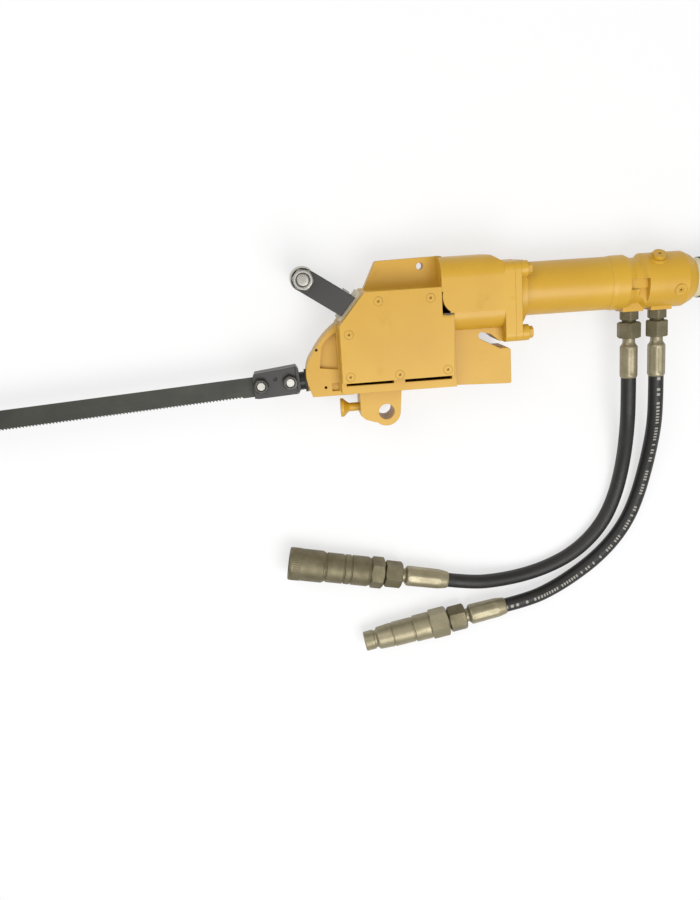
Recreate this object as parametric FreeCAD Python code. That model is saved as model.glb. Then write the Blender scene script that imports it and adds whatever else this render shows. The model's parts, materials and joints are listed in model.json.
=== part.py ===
"""Hydraulic reciprocating hacksaw for rescue crews, built piece by piece in millimetres.

The tool lies on its right-hand side.  +X runs along the motor tube to the rear grip, +Y is the
tool's top, +Z points out of its left-hand side.  The origin is the axis of the pivot bore in the
lug, half way through the tool's thickness.
"""
import FreeCAD, Part
import math
import os

V = FreeCAD.Vector

# ---------------------------------------------------------------- driving dimensions
HALF_WIDTH = 48.0            # half the gearbox width: the tool rests on the far side
WALL = 6.0                   # cast walls
RUN_CLEAR = 0.05             # radial clearance of a running fit
GAP = 0.3                    # open gap between pieces that pass each other
FLOOR_Z = -HALF_WIDTH

# pivot lug and lock plunger
PIVOT_R = 10.0
LUG_R = 18.0
LUG_HALF = 22.0
LUG_FRONT_X = -33.0
LUG_REAR_X = 20.0
PLUNGER_Y = 5.5
PLUNGER_R = 5.5
PLUNGER_NOSE_R = 3.0
PLUNGER_TRAVEL = 7.0
PLUNGER_BUSH_R = 7.5
PLUNGER_BUSH_END_X = -13.0
PLUNGER_STEP_X = -16.5
KNOB_R = 12.0

# gearbox casing
CASE_FRONT_X = -56.0
CASE_REAR_X = 88.0
CASE_BOTTOM_Y = 29.0
CASE_TOP_Y = 153.0
LIP_Y = 43.0                 # lower edge of the side cover
COVER_THICK = 7.0
SLOPE_LOW = (-56.0, 113.0)   # front slope that carries the stirrup handle
SLOPE_HIGH = (-22.0, 153.0)
NOSE_HALF = 20.0
NOSE_POCKET = 6.0
FIN_HALF = 9.0
HANG_HOLE = (52.0, 178.0)
HANG_HOLE_R = 4.5
REAR_HALF = 28.0
REAR_END_X = 160.0
COVER_SCREW_R = 3.0

# motor axis, drum, flanges, tube, valve block
AXIS_Y = 141.0
DRUM_X0 = 72.0
DRUM_TOP_Y = 187.0
DRUM_BOTTOM_Y = 97.0
DRUM_CORNER_R = 24.0
FLANGE_X0 = 150.0
FLANGE_THICK = 13.0
FLANGE_TOP_Y = 178.0
FLANGE_BOTTOM_Y = 80.0
FLANGE_CORNER_R = 10.0
MOTOR_FLANGE_THICK = 17.0
FLANGE_BOLT_R = 4.0
TUBE_R = 33.5
TUBE_BORE_R = 28.0
TUBE_END_X = 291.0
COLLAR_R = 34.5
COLLAR_LENGTH = 31.0
GROOVE_R = 30.0
GROOVE_LENGTH = 10.0
VALVE_R = 35.0
VALVE_END_X = 403.0
PORT_X = (323.0, 360.0)
PORT_FACE_Y = 104.0
PORT_BOSS_R = 13.5
OIL_BORE_R = 4.5
RING_LENGTH = 9.0
RING_R = 25.0
SPIGOT_R = 18.0
SPIGOT_LENGTH = 95.0
SPOOL_R = 8.0
GRIP_SLEEVE_R = 22.0
GRIP_R = 26.0
GRIP_LENGTH = 115.0
GRIP_END_WALL = 6.0

# ram, blade and blade clamp, in the ram's own frame (u back, v up)
RAM_ORIGIN = (-98.0, 44.5)
RAM_TILT = math.radians(3.44)
RAM_R = 11.5
RAM_BORE_R = 6.0
STROKE = 40.0
BUSH_WALL = 3.0
BUSH_U = (0.5, 44.0)
WIPER_THICK = 3.0
CLAMP_U = (-68.0, -9.0)
CLAMP_V = (-14.0, 21.0)
CLAMP_HALF = 14.0
CLAMP_HEEL = 4.0
CLAMP_BOLT_U = (-58.0, -21.0)
CLAMP_BOLT_V = 2.0
CLAMP_BOLT_R = 5.0
CLAMP_NUT_AF = 17.0
CLAMP_NUT_THICK = 8.0
BLADE_HEIGHT = 25.4
BLADE_THICK = 2.0
BLADE_LENGTH = 500.0
BLADE_BUTT_U = -14.0
TOOTH_PITCH = 25.4 / 6
TOOTH_DEPTH = 1.9

# crank drive
CRANK_U = 152.0
CRANK_V = 41.0
GEAR_MODULE = 2.0
WHEEL_TEETH = 48
PINION_TEETH = 16
WHEEL_Z = (-24.0, -13.0)
CRANK_PIN_R = 5.0
DIE_HALF = 8.0
FORK_WALL = 8.0
CRANK_BEARING = (12.5, 23.5, 12.0)   # bore radius, outer radius, width
SHAFT_BEARING = (7.5, 17.5, 11.0)
BEARING_FAR_Z = FLOOR_Z + 4.0
BEVEL_MODULE = 1.75
BEVEL_GEAR_TEETH = 18
BEVEL_PINION_TEETH = 12
BEVEL_FACE = 6.0
BACKLASH = 0.3

# gear motor inside the tube
MOTOR_R = 27.9
MOTOR_MODULE = 1.5
MOTOR_TEETH = 10
MOTOR_SHAFT_R = 5.0
MOTOR_X = (182.0, 200.0, 226.0, 244.0)
GEAR_SIDE_CLEAR = 0.1
OIL_PIPE_R = 5.0
OIL_PIPE_BORE_R = 3.5
OIL_PIPE_OFFSET = 14.0

# stirrup handle
HANDLE_BOLT = (-95.0, 172.0)
ARM_HALF = 14.0
ARM_Z = (33.0, 40.0)
HANDLE_GRIP_R = 15.5
HANDLE_BOLT_R = 8.0
HANDLE_NUT_AF = 24.0
PAD_THICK = 4.0
PAD_HALF = 38.0
SADDLE_THICK = 8.0
FOOT_SCREW_R = 4.0

# hoses and quick couplers
HOSE_R = 9.75
HOSE_AXIS_Z = FLOOR_Z + HOSE_R
ADAPTER_R = 10.0
ADAPTER_LENGTH = 14.0
PORT_NUT_AF = 27.0
PORT_NUT_LENGTH = 20.0
PORT_FERRULE_R = 11.0
PORT_FERRULE_LENGTH = 44.0
FEMALE_TIP = (-140.0, -209.0)
FEMALE_HOSE_END = (77.0, -253.0)
FEMALE_R = 22.5
SOCKET_R = 12.0
SOCKET_END = 36.0
POPPET_R = 11.0
MALE_POPPET_R = 8.0
SPRING_WIRE_R = 0.7
POPPET_TRAVEL = 4.0
MALE_TIP = (-43.0, -336.0)
MALE_HOSE_END = (159.0, -300.0)
MALE_R = 18.7
FEMALE_BODY_END = 131.0
MALE_BODY_END = 121.0
COUPLER_FERRULE_R = 14.0

# ---------------------------------------------------------------- derived places
COS, SIN = math.cos(RAM_TILT), math.sin(RAM_TILT)
CRANK_R = STROKE / 2
WHEEL_PITCH_R = GEAR_MODULE * WHEEL_TEETH / 2
PINION_PITCH_R = GEAR_MODULE * PINION_TEETH / 2
BEVEL_GEAR_R = BEVEL_MODULE * BEVEL_GEAR_TEETH / 2
BEVEL_PINION_R = BEVEL_MODULE * BEVEL_PINION_TEETH / 2
MOTOR_PITCH_R = MOTOR_MODULE * MOTOR_TEETH / 2
FLANGE_X1 = FLANGE_X0 + FLANGE_THICK
TUBE_X0 = FLANGE_X1 + MOTOR_FLANGE_THICK
RING_END_X = VALVE_END_X + RING_LENGTH
SPIGOT_END_X = VALVE_END_X + SPIGOT_LENGTH
GRIP_END_X = RING_END_X + GRIP_LENGTH


def ram_point(u, v):
    """Row coordinates of a place given along (u) and above (v) the ram's line."""
    return RAM_ORIGIN[0] + u * COS - v * SIN, RAM_ORIGIN[1] + u * SIN + v * COS


CRANK_X, CRANK_Y = ram_point(CRANK_U, CRANK_V)
GEAR_DISTANCE = WHEEL_PITCH_R + PINION_PITCH_R
SHAFT_Y = AXIS_Y
SHAFT_X = CRANK_X + math.sqrt(GEAR_DISTANCE ** 2 - (SHAFT_Y - CRANK_Y) ** 2)
# a constant gear ratio stands for the crank's sine: the slot leaves room for the difference
SLOT_SLACK = 0.2105 * CRANK_R + GAP
SLOT_HALF = DIE_HALF + SLOT_SLACK
FORK_HALF = SLOT_HALF + FORK_WALL
FORK_CENTRE_U = CRANK_U + CRANK_R
FORK_TOP_V = CRANK_V + CRANK_R + 2.0
SLOT_BOTTOM_V = CRANK_V - CRANK_R - DIE_HALF - GAP
RAM_REAR_U = FORK_CENTRE_U + FORK_HALF
ROD_END_U = RAM_REAR_U + 62.0
ROD_FRONT_U = RAM_REAR_U - 2 * STROKE
REAR_CAVITY_X = CRANK_X + WHEEL_PITCH_R + GEAR_MODULE + 2.0

nodes = {}


# ---------------------------------------------------------------- helpers
def face(points):
    """A flat face in the XY plane; a point given as (mid, end) pair of points is an arc."""
    edges = []
    here = points[0]
    for item in list(points[1:]) + [points[0]]:
        if isinstance(item[0], tuple):
            mid, end = item
            edges.append(Part.Arc(V(*here, 0), V(*mid, 0), V(*end, 0)).toShape())
            here = end
        else:
            if math.dist(here, item) > 1e-6:
                edges.append(Part.LineSegment(V(*here, 0), V(*item, 0)).toShape())
            here = item
    return Part.Face(Part.Wire(edges))


def slab(points, z0, z1):
    """The outline extruded from height z0 to z1."""
    solid = face(points).extrude(V(0, 0, z1 - z0))
    solid.translate(V(0, 0, z0))
    return solid


def box(x0, x1, y0, y1, z0, z1):
    return Part.makeBox(x1 - x0, y1 - y0, z1 - z0, V(x0, y0, z0))


def rod_z(x, y, radius, z0, z1):
    return Part.makeCylinder(radius, z1 - z0, V(x, y, z0), V(0, 0, 1))


def rod_x(x0, x1, radius, y=AXIS_Y, z=0.0):
    return Part.makeCylinder(radius, x1 - x0, V(x0, y, z), V(1, 0, 0))


def turned(profile, y=AXIS_Y, z=0.0):
    """A solid of revolution about X from (x, radius) pairs that start and end on the axis."""
    wire = Part.makePolygon([V(a, r, 0) for a, r in profile] + [V(profile[0][0], profile[0][1], 0)])
    solid = Part.Face(wire).revolve(V(0, 0, 0), V(1, 0, 0), 360)
    solid.translate(V(0, y, z))
    return solid


def hexagon_x(x0, x1, across_flats, y=0.0, z=0.0, turn=0.0):
    """A hexagonal prism along X; at turn 0 two flats face +Z and -Z."""
    radius = across_flats / math.sqrt(3)
    corners = []
    for k in range(7):
        a = math.radians(60 * k + turn)
        corners.append(V(x0, y + radius * math.cos(a), z + radius * math.sin(a)))
    return Part.Face(Part.makePolygon(corners)).extrude(V(x1 - x0, 0, 0))


def hexagon_z(x, y, across_flats, z0, z1, turn=0.0):
    solid = hexagon_x(0, z1 - z0, across_flats, turn=turn)
    solid.rotate(V(0, 0, 0), V(0, 1, 0), -90)
    solid.translate(V(x, y, z0))
    return solid


def fused(solids):
    result = solids[0].fuse(solids[1:]) if len(solids) > 1 else solids[0]
    return result.removeSplitter()


def cut(solid, tools):
    return solid.cut(Part.makeCompound(tools) if len(tools) > 1 else tools[0])


def on_ram(solid):
    """Moves a solid drawn with X = u and Y = v onto the ram's tilted line."""
    solid.rotate(V(0, 0, 0), V(0, 0, 1), math.degrees(RAM_TILT))
    solid.translate(V(RAM_ORIGIN[0], RAM_ORIGIN[1], 0))
    return solid


def along(solid, tip, hose_end, z):
    """Moves a solid drawn with its axis on X from a coupler's tip towards its hose."""
    angle = math.degrees(math.atan2(hose_end[1] - tip[1], hose_end[0] - tip[0]))
    solid.rotate(V(0, 0, 0), V(0, 0, 1), angle)
    solid.translate(V(tip[0], tip[1], z))
    return solid


def rounded_rect(x0, x1, y0, y1, half, corner):
    """A bar along X with a rounded rectangular section: y0 to y1 by plus and minus half."""
    bar = box(x0, x1, y0, y1, -half, half)
    edges = [e for e in bar.Edges if abs(e.Vertexes[0].X - e.Vertexes[1].X) > 1e-6]
    return bar.makeFillet(corner, edges)


def involute(angle):
    return math.tan(angle) - angle


def tooth_half_angle(radius, pitch_r, base_r, half_pitch, pressure):
    """Half the angle that a tooth takes up at a radius."""
    grow = involute(pressure)
    if radius > base_r:
        grow -= involute(math.acos(base_r / radius))
    return half_pitch + grow


def gear_points(teeth, module, phase, pressure_deg=20.0, addendum=0.95, dedendum=1.2):
    """The outline of a spur gear with involute flanks, one tooth centred on phase."""
    pressure = math.radians(pressure_deg)
    pitch_r = module * teeth / 2
    base_r = pitch_r * math.cos(pressure)
    root_r = pitch_r - dedendum * module
    tip_r = pitch_r + addendum * module
    half_pitch = math.pi / (2 * teeth) - BACKLASH / (4 * pitch_r)
    low = max(base_r, root_r)
    flank = [root_r] + [low + (tip_r - low) * k / 4 for k in range(5)]
    if base_r <= root_r:
        flank = flank[1:]
    points = []
    for tooth in range(teeth):
        centre = phase + 2 * math.pi * tooth / teeth
        halves = [tooth_half_angle(r, pitch_r, base_r, half_pitch, pressure) for r in flank]
        for r, h in zip(flank, halves):
            points.append((r * math.cos(centre - h), r * math.sin(centre - h)))
        for r, h in reversed(list(zip(flank, halves))):
            points.append((r * math.cos(centre + h), r * math.sin(centre + h)))
    return points


def bevel_points(teeth, mate_teeth, phase, scale):
    """A bevel gear's tooth outline in a plane across its axis, shrunk towards the apex."""
    pressure = math.radians(20)
    pitch_r = BEVEL_MODULE * teeth / 2
    depth = BEVEL_MODULE * mate_teeth / 2
    cone = math.atan2(pitch_r, depth)
    cone_length = math.hypot(pitch_r, depth)
    virtual_r = pitch_r / math.cos(cone)
    base_r = virtual_r * math.cos(pressure)
    half_pitch = math.pi * BEVEL_MODULE / 4 / virtual_r - BACKLASH / (4 * virtual_r)
    points = []
    heights = [BEVEL_MODULE * (-1.15 + k * 2.0 / 5) for k in range(6)]
    for tooth in range(teeth):
        centre = phase + 2 * math.pi * tooth / teeth
        flank = []
        for h in heights:
            half = tooth_half_angle(virtual_r + h, virtual_r, base_r, half_pitch, pressure)
            turn = half * (virtual_r + h) / (pitch_r + h * math.cos(cone))
            flank.append((depth * math.tan(cone + math.atan2(h, cone_length)), turn))
        for r, h in flank:
            points.append((scale * r * math.cos(centre - h), scale * r * math.sin(centre - h)))
        for r, h in reversed(flank):
            points.append((scale * r * math.cos(centre + h), scale * r * math.sin(centre + h)))
    return points


def bevel_gear(teeth, mate_teeth, phase):
    """A bevel gear about Z with its apex at the origin and its large end at -Z."""
    depth = BEVEL_MODULE * mate_teeth / 2
    small = 1 - BEVEL_FACE / math.hypot(BEVEL_MODULE * teeth / 2, depth)
    wires = []
    for scale in (1.0, small):
        loop = [V(x, y, -depth * scale) for x, y in bevel_points(teeth, mate_teeth, phase, scale)]
        wires.append(Part.makePolygon(loop + [loop[0]]))
    return Part.makeLoft(wires, True, True)


def cord_radii(points):
    """The largest tangent arc at each inner point of a cord's route, as (radius, trim)."""
    radii = []
    for a, b, c in zip(points, points[1:], points[2:]):
        run_in, run_out = (b - a), (c - b)
        turn = run_in.getAngle(run_out)
        trim = 0.45 * min(run_in.Length, run_out.Length)
        radii.append((trim / math.tan(turn / 2), trim, math.degrees(turn)))
    return radii


def cord_wire(points):
    """Straight runs joined by tangent arcs through a cord's route."""
    edges = []
    here = points[0]
    for (radius, trim, _), a, b, c in zip(cord_radii(points), points, points[1:], points[2:]):
        back, ahead = (a - b).normalize(), (c - b).normalize()
        start, end = b + back * trim, b + ahead * trim
        inward = (back + ahead).normalize()
        half = back.getAngle(ahead) / 2
        mid = b + inward * (radius / math.sin(half) - radius)
        edges.append(Part.LineSegment(here, start).toShape())
        edges.append(Part.Arc(start, mid, end).toShape())
        here = end
    edges.append(Part.LineSegment(here, points[-1]).toShape())
    return Part.Wire(edges)


def hose(name, points):
    """A hose's tube, with its radii and volume printed."""
    route = [V(*p) for p in points]
    wire = cord_wire(route)
    first = (route[1] - route[0]).normalize()
    ring = Part.Wire(Part.makeCircle(HOSE_R, route[0], first))
    tube = wire.makePipeShell([ring], True, False)
    radii = cord_radii(route)
    section = math.pi * HOSE_R ** 2
    print(name, "length", round(wire.Length, 1), "smallest radius", round(min(r[0] for r in radii), 1),
          "largest turn", round(max(r[2] for r in radii), 1),
          "volume ratio", round(tube.Volume / (section * wire.Length), 4))
    return tube


# ---------------------------------------------------------------- gearbox casting and its cover
def case_outline(inset=0.0, bottom=CASE_BOTTOM_Y):
    """Side view of the gearbox, moved inwards by inset all round."""
    slope = inset * 1.3
    return [(CASE_FRONT_X + inset, bottom + inset), (CASE_REAR_X - inset, bottom + inset),
            (CASE_REAR_X - inset, CASE_TOP_Y - inset), (SLOPE_HIGH[0] + slope, SLOPE_HIGH[1] - inset),
            (SLOPE_LOW[0] + inset, SLOPE_LOW[1] - slope * 0.4)]


def housing():
    box_part = slab(case_outline(), FLOOR_Z, HALF_WIDTH - COVER_THICK)
    nose = slab([(-92, 25), (-40, 25), (-40, 126), (-51, 118), ((-74, 100), (-89, 80)),
                 ((-98, 62), (-98, 45))], -NOSE_HALF, NOSE_HALF)
    fin = slab([(-23, 148), (80, 148), (80, 188), ((76, 189), (72, 188.8)), (0, 187.5),
                ((-3.5, 186.5), (-5, 184))], -FIN_HALF, FIN_HALF)
    drum = rounded_rect(DRUM_X0, FLANGE_X0, DRUM_BOTTOM_Y, DRUM_TOP_Y, HALF_WIDTH, DRUM_CORNER_R)
    drum = drum.common(slab([(DRUM_X0, DRUM_BOTTOM_Y), (FLANGE_X0, DRUM_BOTTOM_Y),
                             (FLANGE_X0, FLANGE_TOP_Y), (FLANGE_X0 - 13, DRUM_TOP_Y),
                             (DRUM_X0, DRUM_TOP_Y)], -HALF_WIDTH, HALF_WIDTH))
    flange = rounded_rect(FLANGE_X0, FLANGE_X1, FLANGE_BOTTOM_Y, FLANGE_TOP_Y, HALF_WIDTH,
                          FLANGE_CORNER_R)
    gusset = slab([(135, 98), (135, 90), (147, FLANGE_BOTTOM_Y), (FLANGE_X0, FLANGE_BOTTOM_Y),
                   (FLANGE_X0, 98)], -REAR_HALF, REAR_HALF)
    rear = slab([(80, CASE_BOTTOM_Y), (REAR_END_X - 3, 26), ((REAR_END_X - 0.6, 27), (REAR_END_X, 30)),
                 (REAR_END_X, 68), ((REAR_END_X - 1, 70), (REAR_END_X - 3, 71)), (147, 71), (122, 84),
                 ((119.5, 88.5), (122, 93)), (135, 90), (135, 100), (80, 100)],
                -REAR_HALF, REAR_HALF)
    lug = slab([(LUG_FRONT_X, CASE_BOTTOM_Y + 2), (LUG_FRONT_X, -3), (-27, -8.5), (-14, -13), (0, 0),
                (LUG_R, 0), (LUG_REAR_X, 24), ((22, 27.5), (26, CASE_BOTTOM_Y)),
                (26, CASE_BOTTOM_Y + 2)], -LUG_HALF, LUG_HALF)
    eye = rod_z(0, 0, LUG_R, -LUG_HALF, LUG_HALF)
    body = fused([box_part, nose, fin, drum, flange, gusset, rear, lug, eye])

    inside = HALF_WIDTH - WALL - 1
    floor_in = -inside
    gear_room = slab(case_outline(WALL), floor_in, HALF_WIDTH)
    gear_room = gear_room.cut(box(CASE_FRONT_X, CASE_REAR_X, 0, LIP_Y - 4, HALF_WIDTH - COVER_THICK - 6,
                                  HALF_WIDTH))
    rear_room = box(80, REAR_CAVITY_X, CASE_BOTTOM_Y + WALL, DRUM_BOTTOM_Y + 14, -24.5, 24.5)
    drum_room = rounded_rect(DRUM_X0 + 4.5, FLANGE_X0 - 2, DRUM_BOTTOM_Y + WALL, DRUM_TOP_Y - WALL,
                             HALF_WIDTH - WALL, DRUM_CORNER_R - WALL)
    drum_room = drum_room.common(slab([(DRUM_X0, DRUM_BOTTOM_Y), (FLANGE_X0, DRUM_BOTTOM_Y),
                                       (FLANGE_X0, FLANGE_TOP_Y - WALL),
                                       (FLANGE_X0 - 16, DRUM_TOP_Y - WALL),
                                       (DRUM_X0, DRUM_TOP_Y - WALL)], -HALF_WIDTH, HALF_WIDTH))
    boss_top = BEARING_FAR_Z + CRANK_BEARING[2] + 1
    shaft_top = BEARING_FAR_Z + SHAFT_BEARING[2] + 1
    bosses = [rod_z(CRANK_X, CRANK_Y, CRANK_BEARING[1] + 6, FLOOR_Z, boss_top),
              rod_z(SHAFT_X, SHAFT_Y, SHAFT_BEARING[1] + 5, FLOOR_Z, shaft_top),
              rod_z(SHAFT_X, SHAFT_Y, SHAFT_BEARING[1] + 5, -shaft_top, HALF_WIDTH)]
    ram_boss = on_ram(rod_x(-4, BUSH_U[1] + 3, NOSE_HALF - 4, 0, 0))
    rooms = gear_room.fuse([rear_room, drum_room]).cut(Part.makeCompound(bosses + [ram_boss]))
    rod_length = ROD_END_U - RAM_REAR_U + 1
    bores = [
        rod_z(0, 0, PIVOT_R, -LUG_HALF, LUG_HALF),
        rod_z(HANG_HOLE[0], HANG_HOLE[1], HANG_HOLE_R, -FIN_HALF, FIN_HALF),
        rod_z(CRANK_X, CRANK_Y, CRANK_BEARING[1], BEARING_FAR_Z, boss_top),
        rod_z(SHAFT_X, SHAFT_Y, SHAFT_BEARING[1], BEARING_FAR_Z, shaft_top),
        rod_z(SHAFT_X, SHAFT_Y, SHAFT_BEARING[1], -shaft_top, -BEARING_FAR_Z),
        rod_x(FLANGE_X0 - 2, FLANGE_X1 - 2, SHAFT_BEARING[1]),
        rod_x(FLANGE_X0 - 3, FLANGE_X1, SHAFT_BEARING[0] + 3),
        on_ram(rod_x(-6, BUSH_U[1] + 6, RAM_R + BUSH_WALL, 0, 0)),
        on_ram(rod_x(RAM_REAR_U, RAM_REAR_U + rod_length - 1, RAM_BORE_R, 0, 0)),
        rod_x(LUG_FRONT_X, PLUNGER_BUSH_END_X, PLUNGER_BUSH_R, PLUNGER_Y),
        rod_x(PLUNGER_BUSH_END_X - 1, 0, PLUNGER_NOSE_R + GAP, PLUNGER_Y),
    ]
    pockets = []
    for side in (-1, 1):
        low, high = sorted((side * (NOSE_HALF - NOSE_POCKET), side * NOSE_HALF))
        pockets.append(slab([(-81, 61), (-58.5, 58), (-58.5, 104), ((-68, 98), (-77, 87))], low, high))
        pockets.append(slab([(-67, 31), (-58, 31), (-58, 41), (-67, 41)], low + (2 if side > 0 else 0),
                            high - (2 if side < 0 else 0)))
    pockets += [rod_z(-84, 84, 1.8, -NOSE_HALF, NOSE_HALF), rod_z(-75, 36, 1.8, -NOSE_HALF, NOSE_HALF)]
    body = body.cut(rooms)
    body = cut(body, bores + pockets + flange_bolt_holes(FLANGE_X0, FLANGE_X1))
    columns = []
    for x, y, wall_x, wall_y in COVER_SCREWS:
        columns.append(rod_z(x, y, COVER_BOSS_R, *COVER_BOSS_Z))
        columns.append(box(min(x, wall_x) - COVER_BOSS_R, max(x, wall_x) + COVER_BOSS_R,
                           min(y, wall_y), max(y, wall_y), *COVER_BOSS_Z) if wall_x == x else
                       box(min(x, wall_x), max(x, wall_x), y - COVER_BOSS_R, y + COVER_BOSS_R, *COVER_BOSS_Z))
    holes = [rod_z(x, y, COVER_SCREW_R, COVER_BOSS_Z[0] + 6, COVER_BOSS_Z[1]) for x, y, _, _ in COVER_SCREWS]
    return cut(body.fuse(columns), holes + foot_screw_holes())


# cover screws, each with the point of the wall that its boss grows from
COVER_SCREWS = [(-45, 51, CASE_FRONT_X + 2, 51), (-44, 103, CASE_FRONT_X + 2, 103), (16, 50, 16, CASE_BOTTOM_Y + 2),
                (76, 52, CASE_REAR_X - 2, 52), (-6, 141, -6, CASE_TOP_Y - 2), (58, 141, 58, CASE_TOP_Y - 2)]
COVER_BOSS_R = COVER_SCREW_R + 4
COVER_BOSS_Z = (15.0, HALF_WIDTH - COVER_THICK)
FLANGE_BOLTS = [(y, z) for y in (FLANGE_BOTTOM_Y + 10, FLANGE_TOP_Y - 10)
                for z in (-HALF_WIDTH + 11, HALF_WIDTH - 11)]


def flange_bolt_holes(x0, x1):
    return [rod_x(x0, x1, FLANGE_BOLT_R, y, z) for y, z in FLANGE_BOLTS]


def slope_frame(solid):
    """Moves a solid drawn with X up the slope and Z out of it onto the front slope's middle."""
    angle = math.degrees(math.atan2(SLOPE_HIGH[1] - SLOPE_LOW[1], SLOPE_HIGH[0] - SLOPE_LOW[0]))
    solid.rotate(V(0, 0, 0), V(1, 0, 0), -90)
    solid.rotate(V(0, 0, 0), V(0, 0, 1), angle)
    solid.translate(V((SLOPE_LOW[0] + SLOPE_HIGH[0]) / 2, (SLOPE_LOW[1] + SLOPE_HIGH[1]) / 2, 0))
    return solid


FOOT_SCREWS = [(x, y) for x in (-9, 9) for y in (-22, 22)]
SADDLE_TOP = PAD_THICK + SADDLE_THICK


def foot_screw_holes():
    return [slope_frame(rod_z(x, y, FOOT_SCREW_R, -12, SADDLE_TOP)) for x, y in FOOT_SCREWS]


def side_cover():
    outline = case_outline(0.0)
    outline[0] = (CASE_FRONT_X + 1, LIP_Y)
    outline[1] = (CASE_REAR_X - 4, LIP_Y + 1)
    outline[-1] = (CASE_FRONT_X + 1, SLOPE_LOW[1] + 1)
    outline.append((CASE_FRONT_X + 1, LIP_Y))
    plate = slab(outline[:-1], HALF_WIDTH - COVER_THICK, HALF_WIDTH)
    drum = rounded_rect(DRUM_X0, FLANGE_X0, DRUM_BOTTOM_Y, DRUM_TOP_Y, HALF_WIDTH, DRUM_CORNER_R)
    seat = rod_z(SHAFT_X, SHAFT_Y, SHAFT_BEARING[1] + 5, 20, HALF_WIDTH)
    seats = [cover_screw(x, y, 0.0) for x, y, _, _ in COVER_SCREWS]
    return cut(plate, [drum, seat] + seats)


def cover_screw(x, y, socket_af):
    """A flush countersunk screw; with a socket size it also gets its hexagon socket."""
    head_r = COVER_SCREW_R * 1.9
    head = Part.makeCone(COVER_SCREW_R, head_r, head_r - COVER_SCREW_R, V(x, y, HALF_WIDTH - head_r + COVER_SCREW_R))
    solid = head.fuse(rod_z(x, y, COVER_SCREW_R, COVER_BOSS_Z[0] + 6, HALF_WIDTH - 1))
    if socket_af:
        solid = solid.cut(hexagon_z(x, y, socket_af, HALF_WIDTH - 2.5, HALF_WIDTH + 1))
    return solid


nodes["housing"] = housing()
nodes["side_cover"] = side_cover()
nodes["cover_screws"] = Part.makeCompound([cover_screw(x, y, COVER_SCREW_R) for x, y, _, _ in COVER_SCREWS])

# ---------------------------------------------------------------- ram, guide, blade and clamp
nodes["ram_bush"] = on_ram(rod_x(*BUSH_U, RAM_R + BUSH_WALL, 0, 0).cut(
    rod_x(*BUSH_U, RAM_R + RUN_CLEAR, 0, 0)))
nodes["ram_wiper"] = on_ram(rod_x(BUSH_U[0] - WIPER_THICK, BUSH_U[0], RAM_R + BUSH_WALL, 0, 0).cut(
    rod_x(BUSH_U[0] - WIPER_THICK, BUSH_U[0], RAM_R + RUN_CLEAR, 0, 0)))
fork = box(FORK_CENTRE_U - FORK_HALF, RAM_REAR_U, -RAM_R, FORK_TOP_V, -DIE_HALF, DIE_HALF)
slot = box(FORK_CENTRE_U - SLOT_HALF, FORK_CENTRE_U + SLOT_HALF, SLOT_BOTTOM_V, FORK_TOP_V + 1, -9, 9)
hollow = rod_x(ROD_FRONT_U - 12, RAM_REAR_U, RAM_BORE_R + RUN_CLEAR, 0, 0)
ram = rod_x(CLAMP_U[1], RAM_REAR_U, RAM_R, 0, 0).fuse(fork).cut(Part.makeCompound([slot, hollow]))
nodes["ram"] = on_ram(ram)
nodes["guide_rod"] = on_ram(rod_x(ROD_FRONT_U, ROD_END_U, RAM_BORE_R, 0, 0))
bolt_holes = [rod_z(u, CLAMP_BOLT_V, CLAMP_BOLT_R, -CLAMP_HALF, CLAMP_HALF) for u in CLAMP_BOLT_U]
pin_place = (sum(CLAMP_BOLT_U) / 2, CLAMP_BOLT_V + 6.5)
pin_hole = rod_z(pin_place[0], pin_place[1], 2.5, -CLAMP_HALF, CLAMP_HALF)


def clamp_outline(u0, u1):
    low, high = CLAMP_V
    return [(u0, low + 1), (u0 + 5, low), (u1 - 3, low), (u1, low + 5), (u1, high - 6),
            (u1 - 3, high), (u0 + 3, high - 3), (u0, high - 8)]


half_blade = BLADE_THICK / 2
heel_u = CLAMP_U[1] - CLAMP_HEEL
holder = slab(clamp_outline(*CLAMP_U), -CLAMP_HALF, CLAMP_HALF)
room_for_plate = box(CLAMP_U[0] - 1, heel_u, CLAMP_V[0] - 1, CLAMP_V[1] + 1, -half_blade, CLAMP_HALF)
nodes["blade_holder"] = on_ram(cut(holder, [room_for_plate, pin_hole] + bolt_holes))
plate = slab(clamp_outline(*CLAMP_U), half_blade, CLAMP_HALF)
behind = box(heel_u - GAP, 0, CLAMP_V[0] - 1, CLAMP_V[1] + 1, 0, CLAMP_HALF)
nodes["clamp_plate"] = on_ram(cut(plate, [behind, pin_hole] + bolt_holes))
nodes["clamp_bolts"] = on_ram(Part.makeCompound([
    hexagon_z(u, CLAMP_BOLT_V, CLAMP_NUT_AF, -CLAMP_HALF - 6.5, -CLAMP_HALF).fuse(
        rod_z(u, CLAMP_BOLT_V, CLAMP_BOLT_R, -CLAMP_HALF, CLAMP_HALF + CLAMP_NUT_THICK - 1.5))
    for u in CLAMP_BOLT_U]))
nodes["clamp_nuts"] = on_ram(Part.makeCompound([
    hexagon_z(u, CLAMP_BOLT_V, CLAMP_NUT_AF, CLAMP_HALF, CLAMP_HALF + CLAMP_NUT_THICK, turn).cut(
        rod_z(u, CLAMP_BOLT_V, CLAMP_BOLT_R, CLAMP_HALF, CLAMP_HALF + CLAMP_NUT_THICK))
    for u, turn in zip(CLAMP_BOLT_U, (30, 8))]))
nodes["locating_pin"] = on_ram(rod_z(pin_place[0], pin_place[1], 2.5, -CLAMP_HALF, CLAMP_HALF - 1))


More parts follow.
